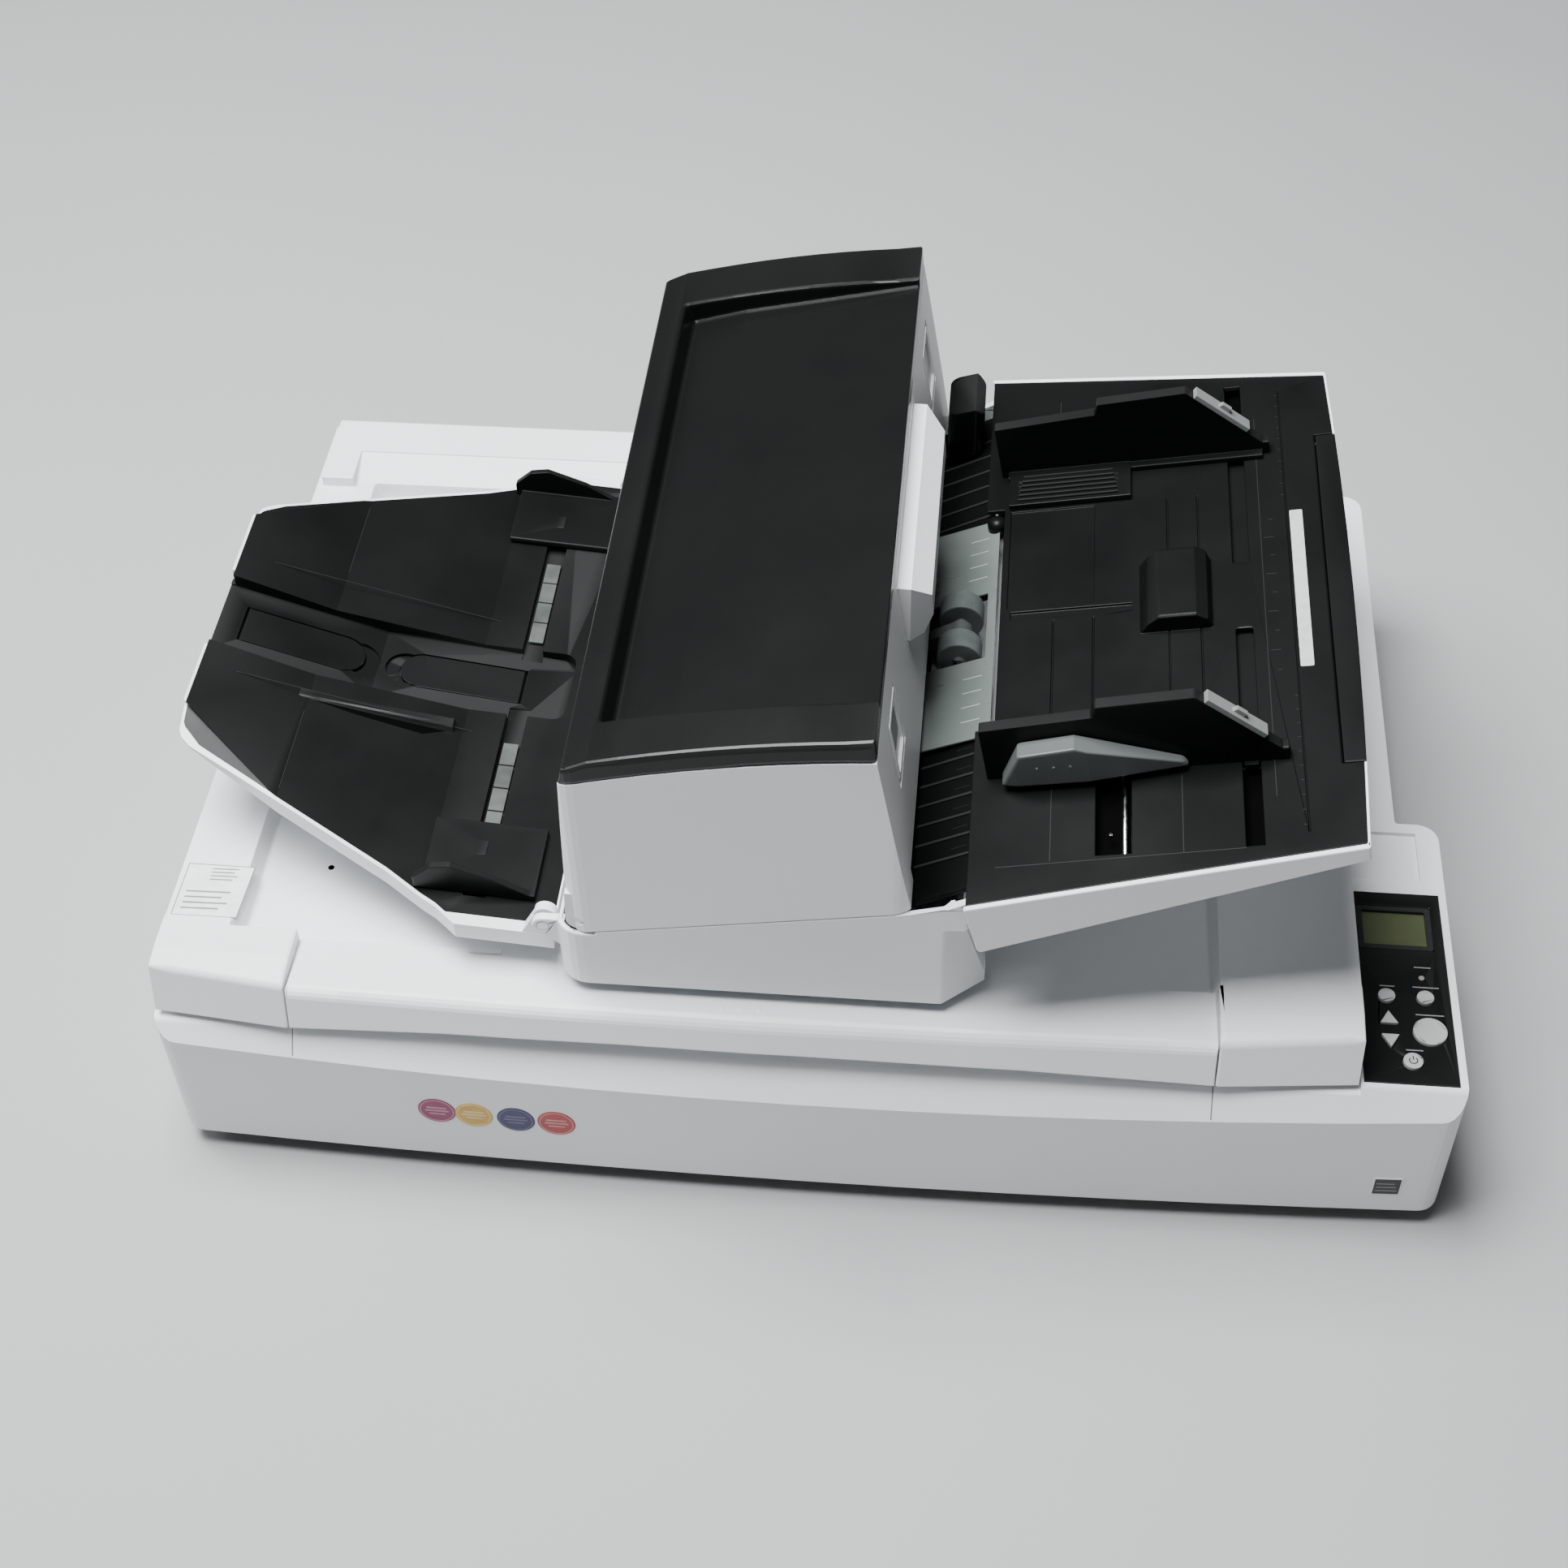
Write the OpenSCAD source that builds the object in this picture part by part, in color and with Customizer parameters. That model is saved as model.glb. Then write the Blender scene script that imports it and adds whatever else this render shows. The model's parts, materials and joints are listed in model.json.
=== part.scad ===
// Large-format document scanner: flatbed base, hinged document cover and a sheet feeder that slides and
// swivels on the cover. X runs to the right, Y to the back and Z up; the origin is the centre of the
// base's footprint, on the floor. All sizes are in millimetres.

/* [Base] */
// Overall width of the base
base_w = 706; // [690:1:720]
// Overall depth of the base
base_d = 500; // [490:1:510]
// Height of the base's top deck above the floor
deck_z = 108; // [104:1:110]
// How far the base's front bows out at its middle
front_bow = 8; // [4:1:12]
// Wall thickness of the plastic housings
wall = 3; // [2.5:0.5:4]

/* [Document cover] */
// Height of the cover's underside above the floor
cover_z = 112; // [111:0.5:113]
// Height of the cover's side plateaus
plateau_z = 142; // [140:1:143]
// Height of the valley floor that the feeder slides in
valley_z = 130; // [128:1:131]
// Height of the ridge along the cover's back
ridge_z = 149.5; // [146:0.5:150]

/* [Feeder] */
// Middle of the feeder along Y, and of the paper path
adf_y = -19; // [-22:1:-16]
// Depth of the feeder's housing
adf_d = 405; // [400:1:410]
// Height of the feeder's underside
adf_z = 151; // [150.5:0.5:153]
// Centre of the swivel along X
swivel_x = -15; // [-20:1:-10]

/* [Chute] */
// Slope of the feed chute in degrees
chute_angle = 10.2; // [8:0.2:12]
// Length of the chute along its slope
chute_len = 201; // [190:1:205]
// Half width of the chute at the feeder
chute_half_in = 213; // [210:1:215]
// Half width of the chute at its outer end
chute_half_out = 188; // [180:1:195]
// Distance from the middle to each side guide's inner face
guide_half = 118; // [110:1:120]

/* [Panel] */
// Height of the operator panel's wing
wing_z = 112; // [111:0.5:112]
// How far a button stands proud of its plate
button_proud = 1.4; // [1.3:0.1:2]

/* [Hidden] */
$fn = 48;
eps = 0.05;

// base
half_w = base_w / 2;
half_d = base_d / 2;
pan_z = 10;
housing_z = 14;
rear_x = 330;        // right side of the base behind the panel's wing
wing_y = -45;        // back of the panel's wing
corner_r = 12;
glass = [446, 316, 4];
glass_x = -25;
glass_y = -15;

// document cover
cover_left = -351;
cover_right = 296;
panel_left = cover_right + 1.5;   // left side of the panel's wing
cover_back = 238;
bar_y = -195;        // back edge of the front handle bar
grip_z = 118;        // underside of the front bar in its middle
seam_left = -275;    // seams between the handle and the end blocks
seam_right = 221;
valley = [-313, 222, -195, 180];
hinge_y = 240;
hinge_z = 118;
hinge_xs = [-262, 208];
hinge_pin_r = 3;
run = 0.05;          // radial clearance of a running fit

// feeder
adf_half = adf_d / 2;
foot_left = -127;
lip_drop = 6.5;        // how far the foot's lip hangs below it
lip_back = -197;       // the lip runs along the foot in front of this
foot_right = 98;
seam_a = [-104, 187.6];   // seam between the foot and the feeder cover, left end
seam_b = [59, 216.5];     // and its right end
seam_gap = 0.8;
lid_axis = [-112, 194];   // hinge of the feeder cover
lid_r = 7.5;
chute_axis = [92, 224];   // hinge of the chute
stack_axis = [-134, 178]; // hinge of the stacker
pin_r = 3;
frame_t = 2;
frame_half = adf_half - 10.5;
feed_axis = [20, 194];
exit_axis = [-100, 171.6];
brake_axis = [46, 198];
pick_axis = [75, 221];
motor_axis = [-40, 174];

// panel buttons: place on the panel and radius of the cap
menu_at = [314.8, -172.2];
stop_at = [335.4, -172.3];
scan_at = [336, -195.2];
up_at = [314.8, -188.2];
down_at = [314.8, -201.2];
power_at = [325.4, -215.3];
small_r = 4.6;
scan_r = 9;
power_r = 5.2;
arrow_r = 5.6;

// ---- helpers ----
module block(lo, hi) translate(lo) cube(hi - lo);
module beside(side, near, far) across(adf_y + (side > 0 ? near : -far), adf_y + (side > 0 ? far : -near))
    children();
module across(y0, y1) translate([0, y1, 0]) rotate([90, 0, 0]) linear_extrude(y1 - y0) children();
module along(x0, x1) translate([x0, 0, 0]) rotate([90, 0, 90]) linear_extrude(x1 - x0) children();
module rod_y(at, r, y0, y1) translate([at[0], y0, at[1]]) rotate([-90, 0, 0]) cylinder(r = r, h = y1 - y0);
module rod_x(at, r, x0, x1) translate([x0, at[0], at[1]]) rotate([0, 90, 0]) cylinder(r = r, h = x1 - x0);
module plate_rounded(w, d, h, r) linear_extrude(h) rounded_rect(w, d, r);
module rounded_rect(w, d, r) {
  square([w, d - 2 * r], center = true);
  square([w - 2 * r, d], center = true);
  for (sx = [-1, 1], sy = [-1, 1]) translate([sx * (w / 2 - r), sy * (d / 2 - r)]) circle(r);
}
function arc(c, r, a0, a1, n = 6) =
  [for (i = [0:n]) let (a = a0 + (a1 - a0) * i / n) c + r * [cos(a), sin(a)]];
function front_y(x) = -half_d + front_bow * pow(x / half_w, 2);
function seam_at(x) = seam_a[1] + (x - seam_a[0]) * (seam_b[1] - seam_a[1]) / (seam_b[0] - seam_a[0]);

// ---- base ----
function base_outline(e) = let (r = corner_r, c = half_w - r, f = front_y(c) + r) concat(
  arc([-c, f], r - e, 180, 270),
  [for (i = [1:11]) let (x = -c + 2 * c * i / 12) [x, front_y(x) + e]],
  arc([c, f], r - e, 270, 360),
  arc([c, wing_y - r], r - e, 0, 90),
  [[rear_x + 6 - e, wing_y - e], [rear_x + 1.8 - e, wing_y + 1.8 - e], [rear_x - e, wing_y + 6 - e]],
  arc([rear_x - r, half_d - r], r - e, 0, 90),
  arc([-c, half_d - r], r - e, 90, 180));

module base_pan() color("gainsboro") difference() {
  union() {
    translate([0, 0, pan_z]) linear_extrude(housing_z - pan_z) polygon(base_outline(wall + 0.5));
    for (x = [-306, 246]) block([x, -27, housing_z - eps], [x + 10, -3, 70]);
    for (x = [70, 210], y = [70, 160]) translate([x, y, housing_z - eps]) cylinder(r = 4, h = 6 + eps);
  }
  rod_x([-15, 60], 5.02, -310, 260);
}

// slanting band between the deck and the bowed front: Y and Z where it leaves the deck, its run and fall
band_top = [-half_d + 15.6, deck_z];
band_slope = [15.6, 21.5];
band_round = 6;       // rounding of its upper edge
band_reach = 60;
// space in front of the band where the top surface is at height top
module before_band(top) {
  d = band_slope / norm(band_slope);
  corner = band_top + d * (top - band_top[1]) / d[1];
  angle = 90 + acos(d[0]);
  ease = band_round * tan((angle - 90) / 2);
  middle = corner + [ease, -band_round];
  polygon(concat([corner - band_reach * d],
    [for (i = [0:6]) let (a = angle + (90 - angle) * i / 6) middle + band_round * [cos(a), sin(a)]],
    [[corner[0] + ease, top + 20], [corner[0] - band_reach, top + 20]]));
}
// the same space moved into the housing by the wall, for the hollow
module behind_band() {
  d = band_slope / norm(band_slope);
  n = wall * [d[1], -d[0]];
  polygon([band_top + n - band_reach * d, band_top + n + band_reach / 2 * d,
    band_top + [-band_reach, band_reach]]);
}

module base_housing() color("whitesmoke") difference() {
  union() {
    difference() {
      translate([0, 0, housing_z]) linear_extrude(deck_z - housing_z) polygon(base_outline(0));
      difference() {
        translate([0, 0, housing_z - 1]) linear_extrude(deck_z - 6 - housing_z + 1)
            polygon(base_outline(wall));
        along(-half_w, half_w) behind_band();
      }
    }
    intersection() {
      block([panel_left, -half_d, deck_z - eps], [half_w, wing_y, wing_z]);
      translate([0, 0, deck_z - 1]) linear_extrude(10) polygon(base_outline(0));
    }
  }
  along(-half_w - 1, panel_left) before_band(deck_z);
  along(panel_left, half_w + 1) before_band(wing_z);
  // platen window with a ledge for the glass
  translate([glass_x, glass_y, deck_z - glass[2]]) linear_extrude(10) square([glass[0] + 0.4,
      glass[1] + 0.4], center = true);
  translate([glass_x, glass_y, deck_z - 10]) linear_extrude(20) square([glass[0] - 12, glass[1] - 12],
      center = true);
  // seat of the panel plate and the space under it
  block([299, -230, wing_z - 3], [349, -98, wing_z + 1]);
  block([301, -228, 90], [347, -100, wing_z]);
  // shallow pocket behind the panel
  block([299, -88, wing_z - 2.5], [340, -52, wing_z + 1]);
  // openings at the back for inlet, switch and socket
  block([176, 240, 34], [204, 260, 54]);
  block([222, 240, 34], [236, 260, 54]);
  block([128, 240, 38], [142, 260, 50]);
}

module flatbed_glass() color("lightcyan") translate([glass_x, glass_y, deck_z - glass[2]])
  linear_extrude(glass[2] - 0.1) square([glass[0], glass[1]], center = true);

module rubber_feet() color("dimgray")
  for (x = [-300, 280], y = [-195, 200]) translate([x, y, 0]) {
    cylinder(r = 15, h = 6);
    translate([0, 0, 6 - eps]) cylinder(r = 13, h = pan_z - 6 + eps);
  }

module carriage_rod() color("silver") rod_x([-15, 60], 5, -306, 256);

module carriage_motor() color("dimgray") {
  translate([270, 40, 30]) cylinder(r = 18, h = 32);
  translate([270, 40, 18]) cylinder(r = 3, h = 12 + eps);
  translate([270, 40, 20]) cylinder(r = 6, h = 7);
  for (s = [-1, 1]) block([270 + s * 24 - 5, 36, housing_z], [270 + s * 24 + 5, 44, 34]);
  block([241, 32, 34 - eps], [299, 48, 37]);
}

module carriage_belt() color("black") translate([0, 40, 20]) linear_extrude(6) difference() {
  belt_loop(7.6);
  belt_loop(6.2);
}
module belt_loop(r) hull() for (x = [-300, 270]) translate([x, 0]) circle(r, $fn = 32);

module main_board() color("darkgreen") {
  translate([60, 60, 20]) cube([160, 110, 1.6]);
  for (x = [90, 140], y = [80, 125]) translate([x, y, 21.6 - eps]) cube([24, 24, 3]);
  translate([62, 90, 21.6 - eps]) cube([10, 50, 9]);
}

module power_inlet() color("black") difference() {
  block([176.2, 228, 34.2], [203.8, half_d, 53.8]);
  block([180, 238, 37], [200, half_d + 1, 51]);
}

module usb_socket() color("silver") difference() {
  block([128.2, 232, 38.2], [141.8, half_d, 49.8]);
  block([130, 240, 40], [140, half_d + 1, 48]);
}

module power_switch() color("black") intersection() {
  rod_x([half_d - 9, 44], 9, 222.4, 235.6);
  block([222, 232, 35.5], [236, half_d - 0.5, 52.5]);
}

module hinge_brackets() color("silver")
  for (x = hinge_xs, s = [-1, 1]) difference() {
    translate([x + s * 17, 0, 0]) along(-2.5, 2.5) {
      translate([hinge_y, hinge_z]) circle(8);
      translate([hinge_y - 8, deck_z]) square([16, hinge_z - deck_z]);
    }
    rod_x([hinge_y, hinge_z], hinge_pin_r, x - 30, x + 30);
  }

module hinge_pins() color("gray")
  for (x = hinge_xs) rod_x([hinge_y, hinge_z], hinge_pin_r, x - 21, x + 21);

// ---- operator panel ----
module panel_plate() color("black") difference() {
  block([299.2, -229.8, wing_z - 3], [348.8, -98.2, wing_z + 0.4]);
  for (b = [menu_at, stop_at]) button_hole(b, small_r);
  button_hole(scan_at, scan_r);
  button_hole(power_at, power_r);
  arrow_hole(up_at, 90);
  arrow_hole(down_at, -90);
  block([303, -139, wing_z - 1.2], [343, -108, wing_z + 1]);
  block([304.6, -137, wing_z - 4], [340.6, -111, wing_z + 1]);
  translate([334.5, -158.4, wing_z - 5]) cylinder(r = 1.6, h = 10);
}
module button_hole(at, r) translate([at[0], at[1], wing_z - 5]) cylinder(r = r + 0.35, h = 10);
module arrow_hole(at, turn) translate([at[0], at[1], wing_z - 5]) rotate(turn) cylinder(r = arrow_r + 0.7,
    h = 10, $fn = 3);

module lcd_window() color("olive") block([304.8, -136.8, wing_z - 3], [340.4, -111.2, wing_z - 1.4]);

module status_led() color("orange") translate([334.5, -158.4, wing_z - 3]) cylinder(r = 1.5, h = 3.6);

module button(at, r, sides = 48, turn = 0) translate([at[0], at[1], 0]) {
  translate([0, 0, wing_z - 3.6]) rotate(turn) cylinder(r = r, h = 4 + button_proud, $fn = sides);
  translate([0, 0, wing_z - 5]) cylinder(r = min(r + 1.2, r + (sides == 3 ? 0.6 : 1.2)), h = 1.6);
}
module menu_button() color("lightgray") button(menu_at, small_r);
module stop_button() color("lightgray") button(stop_at, small_r);
module scan_button() color("lightgray") button(scan_at, scan_r);
module power_button() color("lightgray") button(power_at, power_r);
module up_button() color("lightgray") button(up_at, arrow_r, 3, 90);
module down_button() color("lightgray") button(down_at, arrow_r, 3, -90);

// ---- scan carriage ----
module scan_carriage() color("black") difference() {
  union() {
    block([-262, -165, 45], [-218, 135, 99]);
    block([-262, -30, 30], [-218, 0, 46]);
  }
  rod_x([-15, 60], 5 + run, -270, -210);
  block([-252, -157, 97.5], [-228, 127, 100]);
}
module carriage_window() color("lightcyan") block([-252, -157, 97.5], [-228, 127, 100]);

// ---- document cover ----
// Lower front edge of the cover's bar in plan: nearly straight in the middle, swept back at both ends
bar_front = [[cover_right, -232.9], [seam_right, -239.8], [98, -242.3], [-25, -243.5], [-150, -242.4],
  [seam_left, -239.7], [cover_left, -232.6]];
bar_slant = 14;
block_back = -190;
block_rise = 1.2;
// everything in front of the bar's face, which leans back from the line p to q
module slant_cut(p, q) translate([p[0], p[1], cover_z]) rotate([0, 0, atan2(q[1] - p[1], q[0] - p[0])])
  rotate([bar_slant, 0, 0]) translate([-20, 0, -20]) cube([norm(q - p) + 40, 40, 70]);

module bar_section(x0, x1, rise) along(x0, x1) polygon([[bar_y + eps, cover_z], [bar_y + eps,
    plateau_z - 1],
  [rise > 0 ? block_back : bar_y + eps, plateau_z - 1], [rise > 0 ? block_back : bar_y + eps,
      plateau_z + rise],
  [-214, plateau_z + rise], [-226, plateau_z - 1.5 + rise], [-236, plateau_z - 4.5 + rise],
  [-250, plateau_z - 9 + rise], [-250, cover_z]]);

module cover_slab() {
  block([cover_left, bar_y, cover_z], [cover_right, cover_back, plateau_z]);
  // front bar: side section in Y and Z, cut by its leaning front faces
  difference() {
    union() {
      bar_section(seam_left, seam_right, 0);
      bar_section(cover_left, seam_left + eps, block_rise);
      bar_section(seam_right - eps, cover_right, block_rise);
    }
    for (i = [0:5]) slant_cut(bar_front[i], bar_front[i + 1]);
  }
  // ridge along the back, lower and sloped between its ends
  along(cover_left + 4, cover_right - 4) polygon([[204, plateau_z - 1], [204, ridge_z], [cover_back - 3,
      ridge_z],
    [cover_back, ridge_z - 4], [cover_back, plateau_z - 1]]);
  along(cover_left + 25, cover_right - 25) polygon([[180, plateau_z - eps], [204 + eps, ridge_z - 1],
      [204 + eps, plateau_z - 1],
    [180, plateau_z - 1]]);
  for (x = [cover_left + 4, cover_right - 25]) block([x, 176, plateau_z - 1], [x + 21, 204 + eps, ridge_z]);
}

module document_cover() color("whitesmoke") difference() {
  union() {
    difference() {
      cover_slab();
      // valley for the feeder's slide, its side walls sloped
      across(valley[2], valley[3]) polygon([[valley[0] + 4, valley_z], [valley[1] - 4, valley_z],
        [valley[1] + 3, plateau_z + 9], [valley[0] - 3, plateau_z + 9]]);
      // handle: its top lies lower than the end blocks, sloping up to the front
      along(seam_left, seam_right) polygon([[bar_y + 1, plateau_z - 7], [bar_y - 6, plateau_z - 6.5],
          [-234, plateau_z - 4.6],
        [-250, plateau_z - 8], [-250, plateau_z + 9], [bar_y + 1, plateau_z + 9]]);
      // arched finger gap under the handle
      across(-252, -222) polygon([[seam_left, cover_z - 1], [seam_left, cover_z + 0.2], [-190,
          grip_z - 1.5],
        [-95, grip_z], [0, grip_z], [120, grip_z - 1.5], [seam_right, cover_z + 0.2], [seam_right,
            cover_z - 1]]);
      // seams between the handle and the end blocks
      for (x = [seam_left, seam_right]) {
        block([x - 0.5, -260, cover_z - 1], [x + 0.5, -229, plateau_z + 5]);
        block([x - 0.5, -260, plateau_z - 8.5], [x + 0.5, bar_y + 1, plateau_z + 5]);
      }
      // pad seat and the hollow above it
      translate([glass_x, glass_y, cover_z - 1]) linear_extrude(2.5) square([460.4, 330.4], center = true);
      translate([glass_x, glass_y, cover_z - 1]) linear_extrude(valley_z - 3 - cover_z + 1) square([440,
          310], center = true);
      // notches around the hinge brackets
      for (x = hinge_xs) block([x - 21, hinge_y - 12, cover_z - 1], [x + 21, cover_back + 1, hinge_z + 12]);
    }
    // hinge knuckles
    for (x = hinge_xs) {
      rod_x([hinge_y, hinge_z], 7, x - 13, x + 13);
      block([x - 13, hinge_y - 13, cover_z], [x + 13, hinge_y, hinge_z + 5]);
    }
  }
  for (x = hinge_xs) rod_x([hinge_y, hinge_z], hinge_pin_r + run, x - 30, x + 30);
}

module document_pad() color("white") translate([glass_x, glass_y, deck_z + 0.4])
  plate_rounded(460, 330, cover_z + 1.5 - deck_z - 0.4, 4);

// ---- slide and swivel ----
module slide_plate() color("gainsboro") {
  block([-105, adf_y - 146, valley_z + 0.3], [75, adf_y + 159, plateau_z - 1]);
  translate([swivel_x, adf_y, plateau_z - 1 - eps]) cylinder(r = 30, h = adf_z + 5 - plateau_z + 1 + eps,
      $fn = 96);
}

// ---- feeder foot ----
module feeder_plan(e) polygon(concat(
  arc([foot_left + 16, adf_y - adf_half + 16], 16 - e, 180, 270),
  [[76, adf_y - adf_half + e], [foot_right - e, adf_y - adf_half + 18 + e], [foot_right - e,
      adf_y + adf_half - 18 - e],
   [76, adf_y + adf_half - e]],
  arc([foot_left + 16, adf_y + adf_half - 16], 16 - e, 90, 180)));

module foot_solid(e) intersection() {
  across(adf_y - adf_half, adf_y + adf_half) polygon([[foot_left + e, adf_z], [foot_right - e, adf_z],
    [81 - e, 223], [seam_b[0], seam_b[1] - eps], [seam_a[0], seam_a[1]], [seam_a[0], 185.5],
        [foot_left + 2 + e, 185.5]]);
  translate([0, 0, adf_z - 1]) linear_extrude(100) feeder_plan(e);
}

module adf_foot() color("whitesmoke") difference() {
  union() {
    difference() {
      foot_solid(0);
      intersection() {
        translate([0, 0, adf_z + 5]) linear_extrude(100) feeder_plan(wall);
        across(adf_y - adf_half, adf_y + adf_half) polygon([[foot_left + wall + 1, adf_z],
            [foot_right - wall, adf_z],
          [81 - wall, 223], [81 - wall, 240], [foot_left + wall + 1, 240]]);
      }
      // slot that the sheets leave by
      block([foot_left - 5, adf_y - 165, 169], [foot_left + 10, adf_y + 165, 183]);
      // low right wall under the throat
      block([60, adf_y - 196, 206.5], [foot_right + 5, adf_y + 196, 240]);
    }
    // lip that hangs below the foot along its front
    intersection() {
      translate([0, 0, adf_z - lip_drop]) linear_extrude(lip_drop + 4) difference() {
        feeder_plan(0);
        feeder_plan(wall + 0.5);
      }
      block([-250, -300, adf_z - lip_drop], [250, lip_back, adf_z + 4]);
    }
    // lugs of the chute's hinge, inside the chute's side walls
    for (s = [-1, 1]) translate([0, adf_y + s * (adf_half - 2), 0]) across(-2, 2) {
      translate(chute_axis) circle(5.5);
      polygon([[74, 205], [86, 205], [chute_axis[0] + 4, chute_axis[1] - 4], [chute_axis[0] - 4,
          chute_axis[1] + 4], [76, 221]]);
    }
    // lugs of the stacker's hinge
    for (s = [-1, 1]) translate([0, adf_y + s * 190, 0]) across(-2.5, 2.5) {
      translate(stack_axis) circle(6);
      polygon([[stack_axis[0], stack_axis[1] - 6], [-122, 160], [-122, 184], [stack_axis[0],
          stack_axis[1] + 6]]);
    }
  }
  translate([swivel_x, adf_y, adf_z - 1]) cylinder(r = 30 + run, h = 10, $fn = 96);
  for (s = [-1, 1]) {
    rod_y(chute_axis, pin_r, adf_y + s * (adf_half + 2) - 8, adf_y + s * (adf_half + 2) + 8);
    rod_y(stack_axis, pin_r, adf_y + s * 190 - 6, adf_y + s * 190 + 6);
  }
}

module side_frames() color("silver") difference() {
  for (s = [-1, 1]) translate([0, adf_y + s * frame_half, 0]) across(-frame_t / 2, frame_t / 2) {
    polygon([[-115.5, adf_z + 5], [76, adf_z + 5], [72, 203], [30, 206], [-88, 182.5], [-103, 182.5],
      lid_axis + [3.4, 0.5], lid_axis + [0.8, -3.4], [-109.8, 182.5], [-115.5, 182.5]]);
    translate(lid_axis) circle(3.5);
  }
  rod_y(lid_axis, 2.5, adf_y - 230, adf_y + 230);
  for (a = [feed_axis, exit_axis, brake_axis]) rod_y(a, 4 + run, adf_y - 230, adf_y + 230);
  rod_y(motor_axis, 4.5, adf_y, adf_y + 230);
}

module feeder_pins() color("gray") for (s = [-1, 1]) {
  rod_y(lid_axis, 2.5, adf_y + s * (frame_half + 3.5) - 4.5, adf_y + s * (frame_half + 3.5) + 4.5);
  rod_y(chute_axis, pin_r, adf_y + s * (adf_half + 1) - 5, adf_y + s * (adf_half + 1) + 5);
  rod_y(stack_axis, pin_r, adf_y + s * 186.3 - 6, adf_y + s * 186.3 + 6);
}

// ---- paper path ----
guide_half_w = frame_half - 3;

module throat_guide() color("black") difference() {
  across(adf_y - guide_half_w, adf_y + guide_half_w) polygon([[-121, 171.5], [-90, 183], [56, 209], [91,
      227],
    [91, 223.5], [58, 205.5], [-89, 180.3], [-121, 169.2]]);
  for (y = [-120, 0, 120]) {
    block([feed_axis[0] - 12, adf_y + y - 17, 180], [feed_axis[0] + 12, adf_y + y + 17, 215]);
    block([exit_axis[0] - 11, adf_y + y - 17, 160], [exit_axis[0] + 11, adf_y + y + 17, 190]);
  }
  block([brake_axis[0] - 12, adf_y - 22, 180], [brake_axis[0] + 12.5, adf_y + 22, 220]);
  block([59.5, adf_y - 27, 190], [89, adf_y + 27, 240]);
}

module guide_plate() color("darkseagreen") difference() {
  across(-106, 68) polygon([[57.5, 215], [94, 231], [94, 229.4], [57.5, 213.4]]);
  block([56, adf_y - 26, 200], [89, adf_y + 26, 240]);
}

module throat_block() color("black") intersection() {
  across(adf_y + 154, adf_y + 190) polygon([[60, 214.6], [81.4, 226], [81.4, 252], [76, 257], [60, 252]]);
  translate([0, 0, 200]) linear_extrude(80) translate([70.7, adf_y + 172]) rounded_rect(21.4, 36, 6);
}

module pick_bracket() color("slategray") difference() {
  across(adf_y - 4, adf_y + 4) {
    translate(pick_axis) circle(6.5);
    polygon([[pick_axis[0] - 2, pick_axis[1] + 6], [58, 218.5], [56, 210], [62, 210], [pick_axis[0] + 2,
        pick_axis[1] - 6]]);
  }
  rod_y(pick_axis, pin_r + run, adf_y - 10, adf_y + 10);
}

module pick_rollers() color("slategray") {
  rod_y(pick_axis, pin_r, adf_y - 24, adf_y + 24);
  for (s = [-1, 1]) rod_y(pick_axis, 12.5, adf_y + s * 15.5 - 7, adf_y + s * 15.5 + 7);
}

module roller_shaft(at, r, places, half, length) {
  rod_y(at, 4, adf_y - frame_half - 2, adf_y + length);
  for (y = places) rod_y(at, r, adf_y + y - half, adf_y + y + half);
}
pulley_y = [frame_half + 3, frame_half + 7];
module pulley(at, r) rod_y(at, r, adf_y + pulley_y[0] - 0.6, adf_y + pulley_y[1] + 0.2);
module brake_roller() color("slategray") roller_shaft(brake_axis, 10, [0], 15, frame_half + 2);
module feed_roller() color("slategray") {
  roller_shaft(feed_axis, 10, [-120, 0, 120], 14, pulley_y[1]);
  pulley(feed_axis, 10);
}
module exit_roller() color("slategray") {
  roller_shaft(exit_axis, 8, [-120, 0, 120], 14, pulley_y[1]);
  pulley(exit_axis, 8);
}
module feed_motor() color("dimgray") difference() {
  rod_y(motor_axis, 13, adf_y + frame_half - 50, adf_y + frame_half - frame_t / 2);
  rod_y(motor_axis, 3 + run, adf_y + frame_half - 20, adf_y + frame_half);
}
module motor_pulley() color("silver") {
  rod_y(motor_axis, 3, adf_y + frame_half - 19, adf_y + pulley_y[1]);
  pulley(motor_axis, 8);
}
module belt_hull(e) hull() {
  translate(feed_axis) circle(10 + e, $fn = 32);
  translate(exit_axis) circle(8 + e, $fn = 32);
  translate(motor_axis) circle(8 + e, $fn = 32);
}
module drive_belt() color("black") across(adf_y + pulley_y[0], adf_y + pulley_y[1]) difference() {
  belt_hull(1.6);
  belt_hull(0.3);
}

// ---- feeder cover ----
// Top edge of the light side walls, an arch from left to right
arch_left = [-114, 297];
arch_mid = [-36, 315.5];
arch_right = [41.5, 325];
arch_pull = 2 * arch_mid - (arch_left + arch_right) / 2;
function arch(t) = pow(1 - t, 2) * arch_left + 2 * t * (1 - t) * arch_pull + t * t * arch_right;
// the right wall leans: this frame has Z up along the wall and X straight out of it
wall_lean = atan((seam_b[0] - arch_right[0]) / (arch_right[1] - seam_b[1]));
module on_right_wall() translate([seam_b[0], adf_y, seam_b[1]]) rotate([0, -wall_lean, 0]) children();
window = [36, 43, 50];   // width, height, and height above the seam of the marked windows
module marked_window(y) translate([0, y, window[2]]) {
  block([-1.5, 0, 0], [5, window[0], window[1]]);
  // an arrow that points to the back, and a slot behind it
  along(-6, 5) polygon([[15, 16], [15, 28], [29, 22]]);
  block([-6, 3, 20], [5, 12, 24]);
}
latch_axis = [39.5, 312.5];
latch_pin_r = 1.5;

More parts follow.
